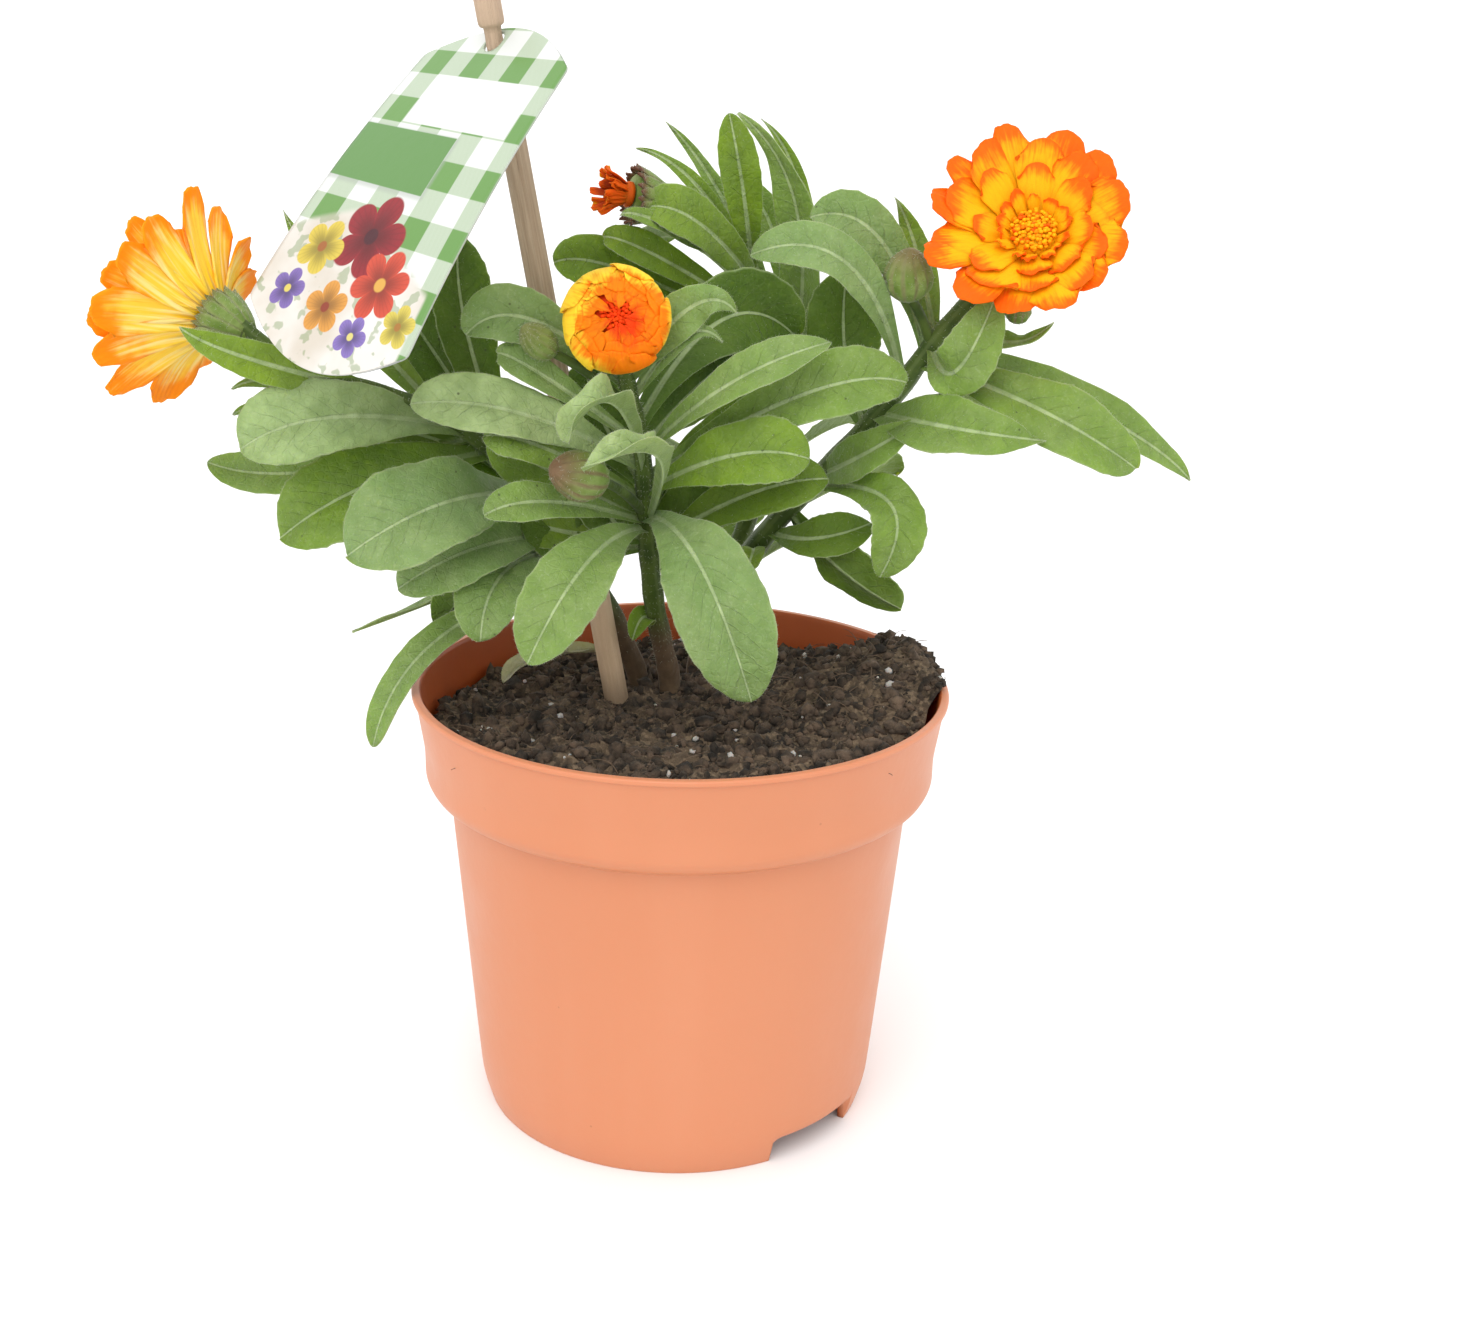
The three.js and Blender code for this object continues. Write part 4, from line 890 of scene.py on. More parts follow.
def print_flower(s, across, down, radius, count, turn, petal, eye):
    """A flat flower round the point where across and down are 0."""
    out = s.math("SQRT", across * across + down * down)
    angle = s.math("ARCTAN2", down, across)
    wave = s.math("ABSOLUTE", s.math("COSINE", angle * (count / 2) + turn))
    share = out / ((s.math("POWER", wave, 0.6) * 0.45 + 0.55) * radius)
    shade = s.mix(s.step(share, 0.2, 1.0), tuple(0.45 * c for c in petal), petal)
    lines = s.step(s.math("SINE", angle * (7.0 * count)), 0.3, 1.0)
    shade = s.mix(lines * 0.2, shade, tuple(0.35 * c for c in petal))
    s.coat(s.fall(share, 0.97, 1.03), shade)
    s.coat(s.fall(out, 0.16 * radius, 0.22 * radius), eye)


def card_material():
    s = Shader("printed_card", Roughness=0.38, Specular_IOR_Level=0.4)
    across, down, back = s.place()
    print_check(s, across, down)
    print_panels(s, across, down)
    for x, y, *flower in FLOWERS:
        print_flower(s, across - x, down - y, *flower)
    s.coat(back, (0.55, 0.56, 0.54))
    s.bump(s.noise(250, 2), 0.00008)
    return s.done()


# Pot


def notch_lift(azimuth):
    """How far the foot ring's lower edge is raised at an azimuth in degrees."""
    lift = np.zeros_like(azimuth)
    for middle in NOTCH_AZIMUTHS:
        off = np.abs((azimuth - middle + 180) % 360 - 180)
        side = FOOT_RADIUS * np.sin(np.radians(np.minimum(off, 60)))
        inner = NOTCH_WIDTH / 2 - NOTCH_CORNER
        past = np.clip((side - inner) / NOTCH_CORNER, 0, 1)
        arch = NOTCH_HEIGHT - NOTCH_CORNER * (1 - np.sqrt(1 - past**2))
        lift = np.maximum(lift, np.where(side < NOTCH_WIDTH / 2, arch, 0))
    return lift


def body_radius(z):
    widening = SHOULDER_RADIUS - FOOT_RADIUS - FOOT_FLARE
    return FOOT_RADIUS + FOOT_FLARE + (z - FLARE_HEIGHT) * widening / (SHOULDER_HEIGHT - FLARE_HEIGHT)


def rounded(profile):
    """The profile's corners as short arcs with a point close by on each side. Rows: r, z, corner radius."""
    points = []
    for k, (r, z, size) in enumerate(profile):
        here = np.array([r, z])
        if not size:
            points.append(here)
            continue
        sides = [np.array(profile[j][:2]) - here for j in (k - 1, (k + 1) % len(profile))]
        reach = min(size, *(0.45 * np.linalg.norm(side) for side in sides))
        a, b = (here + unit(side) * reach for side in sides)
        points += [arc(a, here, b, t) for t in (0, 0.25, 0.5, 0.75, 1)]
    return np.array(points)


def pot_profile():
    """The wall's section, up the outside and down the inside. Rows: r, z, corner radius."""
    top, foot, base = POT_HEIGHT, FOOT_RADIUS, BASE_TOP - BASE_THICKNESS
    band = RIM_RADIUS - BAND_INSET
    inner = band - WALL
    return [
        (foot, 0, 0.35), (foot + 1.9, 6, 3), (foot + FOOT_FLARE, FLARE_HEIGHT, 4),
        (SHOULDER_RADIUS, SHOULDER_HEIGHT, 0.7), (band - 1.2, top - 23.6, 0.9), (band, top - 21.4, 1.2),
        (band, top - 15, 3), (RIM_RADIUS - 0.8, top - 1.5, 0.3), (RIM_RADIUS, top - 1.3, 0.3),
        (RIM_RADIUS, top - 0.3, 0.25), (RIM_RADIUS - 0.4, top, 0.2), (RIM_RADIUS - 1.9, top, 0.3),
        (RIM_RADIUS - 2.3, top - 0.8, 0.4), (inner, top - 15, 3), (inner, top - 21, 1),
        (inner - 1.4, top - 22.4, 0.8), (SHOULDER_RADIUS - WALL, SHOULDER_HEIGHT + 1, 0.7),
        (body_radius(BASE_TOP + 5) - WALL, BASE_TOP + 5, 2),
        (body_radius(BASE_TOP) - WALL - 1.2, BASE_TOP, 1), (0.5, BASE_TOP, 0), (0.5, base, 0),
        (foot - 0.9, base, 0.5), (foot - 1.6, 0, 0.3),
    ]


def pot_azimuths():
    """Equal steps round the pot, with more of them at the notches' corners."""
    half = math.degrees(math.asin(NOTCH_WIDTH / 2 / FOOT_RADIUS))
    edges = []
    for middle in NOTCH_AZIMUTHS:
        for side in (-1, 1):
            for inset in (-0.03, 0.03, 0.5, 1.2, 2.2, 3.6):
                edges.append((middle + side * (half - inset) + 180) % 360 - 180)
    return np.sort(np.concatenate([np.linspace(-180, 180, 240, endpoint=False), edges]))


def add_pot(materials):
    section = rounded(pot_profile())
    # Marks the inside of the wall, which pot_material paints darker as painted shade.
    inner = np.zeros(len(section))
    inner[np.argmax(section[:, 1] >= POT_HEIGHT - 0.01) + 4 :] = 1.0
    azimuths = pot_azimuths()
    lift = notch_lift(azimuths)[None]
    angle = np.radians(azimuths)[None]
    r, z = section[:, 0][:, None], section[:, 1][:, None]
    height = np.where(z < NOTCH_FADE, lift + z * (NOTCH_FADE - lift) / NOTCH_FADE, z)
    points = np.stack([r * np.cos(angle), r * np.sin(angle), height], -1)
    collar = smoothstep(-points[:, :, 0], 35, 60) * (height > 84)
    place = np.stack([np.broadcast_to(inner[:, None], height.shape), collar, height], -1)
    rows, n = height.shape
    pot = Piece("pot_shell")
    pot.add(points, [ring_quads(rows, n) % (rows * n)], place.reshape(-1, 3))
    cutter = Piece("drain_cutter")
    for turn in around(DRAIN_COUNT):
        x, y = DRAIN_CIRCLE * math.cos(turn), DRAIN_CIRCLE * math.sin(turn)
        cutter.add(*tube([(x, y, BASE_TOP - 4), (x, y, BASE_TOP + 3)], [DRAIN_RADIUS] * 2, 32))
    return pot.make(materials, ["pot"]), cutter


def cut_with(made, cutter):
    """Cuts the cutter's closed shapes out of an object's mesh."""
    tool = bpy.data.objects.new("cutter", bpy.data.meshes.new("cutter"))
    faces = [tuple(int(i) for i in row) for part in cutter.faces for row in part]
    tool.data.from_pydata([tuple(p) for p in cutter.metres()], [], faces)
    bpy.context.scene.collection.objects.link(tool)
    modifier = made.modifiers.new("cut", "BOOLEAN")
    modifier.operation = "DIFFERENCE"
    modifier.object = tool
    bpy.context.view_layer.update()
    mesh = bpy.data.meshes.new_from_object(made.evaluated_get(bpy.context.evaluated_depsgraph_get()))
    made.modifiers.clear()
    made.data = mesh
    bpy.data.objects.remove(tool)


# Peat


def heap_at(x, y):
    return np.exp(-((x - HEAP_X) ** 2 + (y - HEAP_Y) ** 2) / HEAP_SPREAD**2)


def peat_top(x, y):
    lumps = 0.7 * np.sin(0.31 * x + 1.3) * np.cos(0.27 * y) + 0.6 * np.sin(0.17 * x - 0.23 * y)
    return PEAT_LEVEL + 0.03 * x + HEAP_HEIGHT * heap_at(x, y) + lumps


def spill_at(angle):
    """How far the peat spills over the rim at an angle, from 0 to 1."""
    return smoothstep(heap_at(HEAP_X * np.cos(angle), HEAP_X * np.sin(angle)), 0.45, 0.8)


def peat_surface(radius, angle):
    """The top of the peat, with its lumps, at a share of the way to its edge."""
    spill = spill_at(angle)
    edge = lerp(RIM_RADIUS - BAND_INSET - WALL - 0.9, SPILL_RADIUS, spill)
    r = radius * edge
    x, y = r * np.cos(angle), r * np.sin(angle)
    z = peat_top(x, y) + 0.8 * spill * smoothstep(r, 40, 62)
    border = np.where(spill > 0.01, lerp(peat_top(x, y) - 1.2, POT_HEIGHT + 0.7, spill), z - 1.2)
    z = lerp(border, z, smoothstep(edge - r, 0, 2.8))
    p = np.stack([x, y, 0 * x], -1).reshape(-1, 3)
    rough = noise(p, 5.0, 3, 4).reshape(x.shape) - 0.5 + 0.45 * (noise(p, 1.7, 23, 2).reshape(x.shape) - 0.5)
    ridged = 1 - 2 * np.abs(noise(p, 9.0, 11, 3).reshape(x.shape) - 0.5)
    keep = smoothstep(edge - r, 0, 1.5)
    return x, y, z + keep * (4.0 * rough + 1.6 * (ridged - 0.8))


def add_bed(peat):
    """The block of peat: a skirt that runs down inside the pot, under the rough top."""
    rings, sides = 84, 300
    angle = around(sides)
    spill = spill_at(angle)
    shares = 1 - (1 - np.linspace(0.02, 1, rings)) ** 1.15
    top = [np.stack(peat_surface(np.full(sides, share), angle), -1) for share in shares[::-1]]
    skirt = []
    for r, low, high in ((53.0, 80.0, 80.0), (59.4, 98.0, 98.0), (60.0, 107.6, 108.5)):
        height = np.minimum(lerp(low, high, spill), top[0][:, 2] - 0.3)
        skirt.append(np.stack([r * np.cos(angle), r * np.sin(angle), height], -1))
    peat.add(*loft(np.array(skirt + top), "fan"))


def add_lumps(piece, centres, sizes, ragged, slot):
    """A ragged, stretched icosahedron at each centre."""
    g = (1 + 5**0.5) / 2
    corners = unit([
        (-1, g, 0), (1, g, 0), (-1, -g, 0), (1, -g, 0), (0, -1, g), (0, 1, g),
        (0, -1, -g), (0, 1, -g), (g, 0, -1), (g, 0, 1), (-g, 0, -1), (-g, 0, 1),
    ])
    faces = np.array([
        (0, 11, 5), (0, 5, 1), (0, 1, 7), (0, 7, 10), (0, 10, 11), (1, 5, 9), (5, 11, 4),
        (11, 10, 2), (10, 7, 6), (7, 1, 8), (3, 9, 4), (3, 4, 2), (3, 2, 6), (3, 6, 8),
        (3, 8, 9), (4, 9, 5), (2, 4, 11), (6, 2, 10), (8, 6, 7), (9, 8, 1),
    ])
    n = len(centres)
    shape = corners[None] * (1 + ragged * random.uniform(-1, 1, (n, 12, 1)))
    stretch = random.uniform(0.6, 1.3, (n, 1, 3))
    points = centres[:, None] + shape * stretch * sizes[:, None, None]
    piece.add(points, [(12 * np.arange(n)[:, None, None] + faces[None]).reshape(-1, 3)], slot=slot)


def scatter_lumps(peat, count, reach, largest, power, lift, ragged, slot):
    """Lumps all over the top, out to a share of its area, of which the small ones are commonest."""
    share, turn = np.sqrt(random.uniform(0.0, reach, count)), random.uniform(0, 2 * np.pi, count)
    x, y, z = peat_surface(share, turn)
    size = SMALLEST_LUMP + largest * random.uniform(0, 1, count) ** power
    add_lumps(peat, np.stack([x, y, z + lift * size], -1), size, ragged, slot)


def scatter_on_rim(peat, count):
    """Crumbs that lie on the rim beside the heap."""
    turn = random.normal(0.28, 0.3, count)
    r, size = random.uniform(59.5, 63.9, count), SMALLEST_LUMP + 1.1 * random.uniform(0, 1, count) ** 2
    r = np.minimum(r, SPILL_RADIUS - size)
    z = POT_HEIGHT + 1.0 + 0.5 * size + random.uniform(0, 1.6, count) * spill_at(turn)
    near = spill_at(turn) > 0.15
    add_lumps(peat, np.stack([r * np.cos(turn), r * np.sin(turn), z], -1)[near], size[near], 0.45, 1)


def add_fibre(peat, start):
    """A fine curved fibre that stays inside the pot's rim."""
    length = random.uniform(2.5, 10)
    heading = random.uniform(0, 2 * np.pi)
    lift = random.uniform(0.0, 0.5)
    t = np.linspace(0, 1, 7)[:, None]
    way = np.array([math.cos(heading), math.sin(heading), 0])
    bend = np.array([-way[1], way[0], 0]) * random.uniform(-0.18, 0.18)
    path = start + length * (way * t + bend * t**2)
    path[:, 2] += 2 * length * lift * (t * (1 - 0.75 * t))[:, 0]
    out = np.hypot(path[:, 0], path[:, 1])
    path[:, :2] *= np.minimum(1, (SPILL_RADIUS - 0.1) / np.maximum(out, 1))[:, None]
    peat.add(*tube(path, np.linspace(0.13, 0.06, 7), 4), slot=3)


def scatter_fibres(peat, count):
    share = np.sqrt(random.uniform(0.02, 0.99, count))
    by_heap = random.uniform(0, 1, count) < 0.4
    turn = np.where(by_heap, random.normal(0.05, 0.35, count), random.uniform(0, 2 * np.pi, count))
    for x, y, z in zip(*peat_surface(share, turn)):
        add_fibre(peat, np.array([x, y, z + 0.2]))


def add_peat(materials):
    peat = Piece("peat_bed")
    add_bed(peat)
    scatter_lumps(peat, 3600, reach=0.985, largest=1.7, power=3, lift=0.1, ragged=0.45, slot=1)
    scatter_on_rim(peat, 260)
    scatter_lumps(peat, 95, reach=0.97, largest=0.75, power=2, lift=0.35, ragged=0.25, slot=2)
    scatter_fibres(peat, 190)
    return peat.make(materials, ["peat"])


# Stake and card

stake_way = unit(STAKE_TOP - STAKE_FOOT)
card_hole = STAKE_TOP - NECK_BELOW_TOP * stake_way
card_across = unit(CARD_ACROSS)
card_up = unit(CARD_UP)
card_normal = unit(np.cross(card_across, card_up))


def bell(x, spread):
    return np.exp(-((x / spread) ** 2))


def add_stake(materials):
    """A turned rod with a neck near its top. Profile: distance from the foot and radius."""
    sides = 36
    length = np.linalg.norm(STAKE_TOP - STAKE_FOOT)
    neck = length - NECK_BELOW_TOP
    full, thin = STAKE_RADIUS, NECK_RADIUS
    profile = np.array([
        (0.0, full - 0.7), (0.7, full), *((d, full) for d in np.linspace(4, neck - 5.4, 46)),
        (neck - 5, full - 0.1), (neck - 4.4, 2.5), (neck - 3.6, thin + 0.1), (neck - 2, thin - 0.05),
        (neck, thin), (neck + 2, thin - 0.1), (neck + 3.4, thin), (neck + 3.8, 2.7),
        (neck + 4.4, full - 0.05), (neck + 6, full), (length - 1.2, full), (length - 0.4, full - 0.35),
        (length, full - 0.95),
    ])
    along, radii = profile.T
    rings = round_rings(STAKE_FOOT + along[:, None] * stake_way, radii, sides)
    angle = around(sides)[None]
    grid = np.broadcast_arrays(np.cos(angle) * 3, np.sin(angle) * 3, along[:, None])
    grid = np.stack(grid, -1).reshape(-1, 3)
    rough = (noise(grid * [1, 1, 0.08], 1.2, 5, 3) - 0.5).reshape(len(profile), sides)
    near_neck = bell(along - neck, 4)[:, None]
    rings = spread(rings, 1 + (0.03 + 0.16 * near_neck) * rough - 0.01)
    stake = Piece("stake_rod")
    stake.add(*loft(rings, "fan"), np.concatenate([grid, [[0, 0, along[0]], [0, 0, along[-1]]]]))
    return stake.make(materials, ["stake"])


def on_card(across, down, out):
    """A point of the bent and twisted card, in millimetres across it and down it from its hole."""
    bent = np.maximum(down - CARD_FLAT_LENGTH, 0)
    bend, twist = CARD_BEND * bent, CARD_TWIST * down
    fall = down - bent + np.sin(bend) / CARD_BEND
    back = (1 - np.cos(bend)) / CARD_BEND
    a = across * np.cos(twist) - out * np.sin(twist)
    b = across * np.sin(twist) + out * np.cos(twist) * np.cos(bend) - back
    c = -fall - out * np.cos(twist) * np.sin(bend)
    return card_hole + a[..., None] * card_across + b[..., None] * card_normal + c[..., None] * card_up


def add_card(materials):
    """Rows run from the top edge to the bottom one. The hole is cut afterwards."""
    card = Piece("card_sheet")
    u = np.linspace(0, 1, 46)
    close = np.array([0, 0.002, 0.006, 0.012, 0.02])
    t = np.concatenate([close, np.linspace(0.036, 0.964, 60), [0.98, 0.988, 0.994, 0.998, 1]])
    tt, uu = np.meshgrid(t, u, indexing="ij")
    ends = np.maximum(0, 1 - np.minimum(tt, 1 - tt) * (CARD_BOTTOM - CARD_TOP) / CARD_CORNER)
    trim = CARD_CORNER * (1 - np.sqrt(1 - ends**2))
    across = lerp(CARD_LEFT + trim, CARD_RIGHT - trim, uu)
    bow = 4 * uu * (1 - uu)
    down = lerp(CARD_TOP - CARD_TOP_BOW * bow, CARD_BOTTOM + CARD_BOTTOM_BOW * bow, tt)
    front, back = (on_card(across, down, np.full_like(across, side * CARD_THICKNESS / 2)) for side in (1, -1))
    front_place, back_place = (np.stack([across, down, 0 * across + side], -1) for side in (0, 1))
    place = np.concatenate([front_place, back_place[:, ::-1]], 1)
    card.add(*loft(np.concatenate([front, back[:, ::-1]], 1)), place.reshape(-1, 3))
    cutter = Piece("hole_cutter")
    cutter.add(*tube([card_hole - 4 * card_normal, card_hole + 4 * card_normal], [CARD_HOLE_RADIUS] * 2, 32))
    return card.make(materials, ["card"]), cutter


# Stems and leaves


def add_stem(piece, name, slot, hair_slot):
    points, (foot_radius, end_radius) = STEMS[name]
    foot = np.array(points[0], float)
    steps, sides = 70, 20
    path = [foot - [0, 0, depth] for depth in (STEM_FOOT_DEPTH, 8, 1.5)]
    widths = [foot_radius] * 3
    for k in range(1, steps + 1):
        path.append(stem_at(name, k / steps))
        widths.append(lerp(foot_radius, end_radius, k / steps) * (1 + 0.05 * math.sin(0.9 * k)))
    rings = round_rings(path, widths, sides, 0.05)
    row = np.arange(len(path))[:, None] * 1.0
    place = np.stack(np.broadcast_arrays(around(sides)[None], row, rings[:, :, 2]), -1).reshape(-1, 3)
    ends = [[0, 0, foot[2]], [0, 0, path[-1][2]]]
    piece.add(*loft(rings, "fan"), np.concatenate([place, ends]), slot=slot)
    count = 1300
    k = random.integers(6, len(path) - 1, count)
    j = random.integers(0, sides, count)
    roots = rings[k, j]
    ways = unit(roots - rings[k].mean(1)) + 0.35 * random.normal(0, 1, (count, 3))
    add_hairs(piece, roots, ways, (0.5, 1.3), hair_slot)


def outline_width(share, shape):
    """A leaf's width at a share of its length, against its full width."""
    base, widest = shape["base"], shape["widest"]
    if share < widest:
        return base + (1 - base) * np.sin(np.pi / 2 * (share / widest)) ** shape["rise"]
    past = (share - widest) / (1 - widest)
    return max((1 - past ** shape["blunt"]) ** shape["round"], 0.02)


LATERAL = np.array([-1, -0.93, -0.8, -0.62, -0.42, -0.24, -0.1, -0.035])
LATERAL = np.concatenate([LATERAL, -LATERAL[::-1]])


def leaf_heights(t, half, width, length, curled, index):
    """How high the two sides of a leaf are across a row: folded, waved, rippled, quilted and ribbed."""
    off = np.abs(LATERAL)
    from_rib = LATERAL * half
    lift = half * math.sin(LEAF_FOLD + CURL_FOLD * curled)
    wave = WAVE_HEIGHT * width * math.sin(2 * math.pi * WAVES * t + index) * min(1, 2 * t)
    phase = 2 * np.pi * (3.1 * t) + 1.7 * index + 2.2 * np.sign(LATERAL)
    ripple = 0.03 * (1 + 2.5 * curled) * width * np.sin(phase) * off**2 * min(1, 3 * t)
    swell = 0.06 * half * off * (1 - off) * 4 * min(1, 3 * t)
    body = lift * off**1.15 - wave * LATERAL * off + ripple + swell
    phase = 2 * np.pi * (t * length - 1.15 * off * half) / QUILT_LENGTH + index
    quilt = 0.05 * (width / 2) * np.sin(phase) * np.sin(np.pi * off) * min(1, 2 * t)
    groove = -0.28 * bell(from_rib, 0.5) * (1 - 0.7 * t)
    thick = LEAF_THICKNESS * (0.38 + 0.62 * (1 - off)) * 0.8
    rib = RIB_DEPTH * (1 - t) * bell(from_rib, 0.8) + 0.15 * bell(from_rib, 0.5)
    sheet = body + quilt * 0.35
    return sheet + groove + thick / 2, sheet - thick / 2 - rib


def add_leaf_hairs(piece, rings, frames, shares, length, slot):
    """Hairs along both edges and over the upper side."""
    roots, ways = [], []
    count, steps = len(rings), int(1.6 * length)
    for column, sign in ((0, -1), (len(LATERAL) - 1, 1)):
        for k in range(steps):
            place = (0.1 + 0.9 * (k + random.uniform(0, 1)) / steps) * (count - 1)
            i = min(int(place), count - 2)
            across, normal, along = frames[i]
            roots.append(lerp(rings[i, column], rings[i + 1, column], place - i))
            way = sign * across + 0.5 * random.normal(0, 1, 3)
            ways.append(way + 0.25 * normal + 0.5 * shares[i] * along)
    on_face = int(2.2 * length)
    i = random.integers(3, count - 1, on_face)
    j = random.integers(1, len(LATERAL) - 1, on_face)
    roots += list(rings[i, j])
    ways += [frames[row][1] + 0.6 * random.normal(0, 1, 3) for row in i]
    add_hairs(piece, roots, ways, (0.25, 0.75), slot, 0.055)


def add_leaf(piece, name, index, slot, hair_slot, share, middle, tip, width, face, shape, green_and_painted_light, curled=0.0):
    fold = LEAF_FOLD + CURL_FOLD * curled
    base, end = stem_at(name, share), np.array(tip, float)
    control = 2 * np.array(middle, float) - 0.5 * base - 0.5 * end
    shares = 1 - (1 - np.linspace(0, 1, 34 if width > 12 else 26)) ** 1.55
    chords = (arc(base, control, end, t + 0.05) - arc(base, control, end, t) for t in np.arange(0, 1, 0.05))
    length = sum(np.linalg.norm(chord) for chord in chords)
    blade, frames = Blade(), []
    chance = random.uniform(0, 1)
    for t in shares:
        along = unit(2 * (1 - t) * (control - base) + 2 * t * (end - control))
        normal = unit(np.array(face, float) - along * np.dot(face, along))
        across = np.cross(along, normal)
        half = width / 2 * outline_width(t, shape)
        if 0.1 < t < 0.97:
            coarse = math.sin(2 * math.pi * 11 * t + index)
            fine = math.sin(2 * math.pi * 23 * t + 2.3 * index)
            half *= 1 + 0.018 * coarse + 0.012 * fine
        heights = leaf_heights(t, half, width, length, curled, index)
        offsets = LATERAL * (half * math.cos(fold))
        upper, lower = sheet_sides(arc(base, control, end, t), across, offsets, normal, heights)
        blade.add_row(upper, lower, LATERAL * half, t * length, np.abs(LATERAL), (chance, green_and_painted_light, 0, t))
        frames.append((across, normal, along))
    blade.join(piece, slot)
    add_leaf_hairs(piece, np.array(blade.rings), frames, shares, length, hair_slot)


# Blooms and buds


class Bloom:
    """The frame at the mouth of a green cup: radius and angle round its axis, and height along it."""

    def __init__(self, mouth, axis):
        self.centre = np.array(mouth, float)
        self.along = unit(axis)
        self.side = unit(np.cross([0, 0, 1.0], self.along))
        self.other = np.cross(self.along, self.side)

    def point(self, radius, angle, height):
        radius, angle, height = np.broadcast_arrays(radius, angle, height)
        x, y = (radius * np.cos(angle))[..., None], (radius * np.sin(angle))[..., None]
        return self.centre + x * self.side + y * self.other + height[..., None] * self.along

    def way(self, radius, angle, height=0.0):
        return self.point(radius, angle, height) - self.centre


PETAL_LATERAL = np.array([-1, -0.86, -0.67, -0.48, -0.3, -0.12, 0.12, 0.3, 0.48, 0.67, 0.86, 1])
PETAL_STEPS = 60
PETAL_STATIONS = np.array([0, 0.08, 0.18, 0.3, 0.42, 0.54, 0.65, 0.75, 0.84, 0.91, 0.965, 1.0])


def petal_path(size, closed):
    """A petal's midline as radii and heights at equal steps."""
    if closed:
        dome_radius, dome_height, reach = size[:3]
        turn = np.linspace(0.4, reach, PETAL_STEPS + 1)
        return dome_radius * np.sin(turn) ** 0.85, dome_height / 2 * (1 - np.cos(turn))
    start, height, length, _, foot, tip = size
    rises = np.radians(lerp(foot, tip, (np.arange(PETAL_STEPS) + 0.5) / PETAL_STEPS))
    steps = length / PETAL_STEPS * np.cos(rises), length / PETAL_STEPS * np.sin(rises)
    return [np.concatenate([[at], at + np.cumsum(step)]) for at, step in zip((start, height), steps)]


def add_petal(piece, bloom, angle, size, roll, draw, closed=False):
    """size is a row of BLOOMS without its count, and draw tells this petal's curls from the next one's."""
    r, z = petal_path(size, closed)
    slope = np.unwrap(np.arctan2(np.gradient(z), np.gradient(r)))
    width = size[3]
    u = PETAL_LATERAL
    blunt = 0.2 if closed else 0.38 * width / size[2]
    teeth = 1 - 0.025 * (1 - np.cos(3 * np.pi * u)) / 2 - blunt * np.abs(u) ** 2.9
    teeth = teeth + 0.02 * np.sin(2.2 * u + 1.9 * draw)
    level = bloom.way(1.0, angle + np.pi / 2)
    chance = random.uniform(0, 1)
    sway = random.uniform(-0.05, 0.05)
    blade = Blade()
    for s in PETAL_STATIONS:
        place = s * lerp(1, teeth, smoothstep(s, 0.7, 1.0)) * PETAL_STEPS
        rr, zz = (np.interp(place, np.arange(PETAL_STEPS + 1), path) for path in (r, z))
        rise = slope[int(s * PETAL_STEPS)]
        along = bloom.way(np.cos(rise), angle, np.sin(rise))
        across = turned(level, unit(along), roll * min(1, 2 * s))
        normal = unit(np.cross(across, along))
        half = width / 2 * np.interp(s, [0, 0.2, 0.65, 0.88, 1], [0.36, 0.62, 1.0, 1.0, 0.86])
        lift = half * math.sin(PETAL_FOLD) * np.abs(u)
        twist = 0.6 * math.sin(4 * s + draw) * u * np.abs(u) * s
        ridges = 0.09 * np.cos(2.5 * np.pi * u) * min(1, 4 * s) + twist
        hollow = 0.5 * s**2 * np.sin(1.3 * draw) * (1 - u**2)
        curl = 0.34 * s**3 * np.sin(1.5 * np.pi * u + 2.1 * draw) + hollow
        thick = PETAL_THICKNESS * lerp(1.0, 0.55, s)
        shown = s
        if closed:
            swing = u * np.minimum(half / np.maximum(rr, 3.4), 0.9)
            away = 0.5 * ridges + 0.25 * curl + 0.3 * s**3 + 0.4 * roll * u * half
            upper, lower = (
                bloom.point(rr + a * math.sin(rise), angle + swing, zz - a * math.cos(rise))
                for a in (away + thick / 2, away - thick / 2)
            )
            x, y = (upper - bloom.centre) @ bloom.side, (upper - bloom.centre) @ bloom.other
            shown = (1 - np.hypot(x - BALL_EYE[0], y - BALL_EYE[1]) / size[0]) * (rise > math.pi / 2)
        else:
            body = lift + ridges + curl
            centre = bloom.point(rr, angle + sway * s, zz)
            upper, lower = sheet_sides(centre, across, u * half, normal, (body + thick / 2, body - thick / 2))
        blade.add_row(upper, lower, u * half, shown, np.abs(u), (chance, 0, 0, s))
    blade.join(piece, 0)


def add_core(piece, bloom, path, along, slot):
    """A lathed form on the bloom's axis, from radii and heights. along picks its colour on a petal."""
    angle = around(28)
    rings = [bloom.point(r, angle, h) for r, h in path]
    piece.add(*loft(rings, "fan"), (0, along, 0), (0.5, 0, 0, 0), slot)


def add_disc(piece, bloom, radius, height, count, lengths, redness):
    """Small florets set in a spiral round the bloom's axis. lengths: their middle length and its range."""
    for k in range(count):
        share = math.sqrt((k + 0.5) / count)
        angle = GOLDEN_ANGLE * k + jitter(0.2)
        root = bloom.point(radius * share, angle, height - 0.9 * share)
        length = lengths[0] + jitter(lengths[1])
        out = radius * share * 1.2 - 0.5 * share
        top = bloom.point(out, angle + jitter(0.15), height + length * (1 - 0.35 * share))
        path = [lerp(root, top, t) for t in (0, 0.35, 0.7, 0.9, 1)]
        shade = redness + jitter(0.25)
        piece.add(*tube(path, [0.36, 0.34, 0.4, 0.5, 0.24], 7, 0.12), (0, shade, 0), (shade, 0, 0, 0))


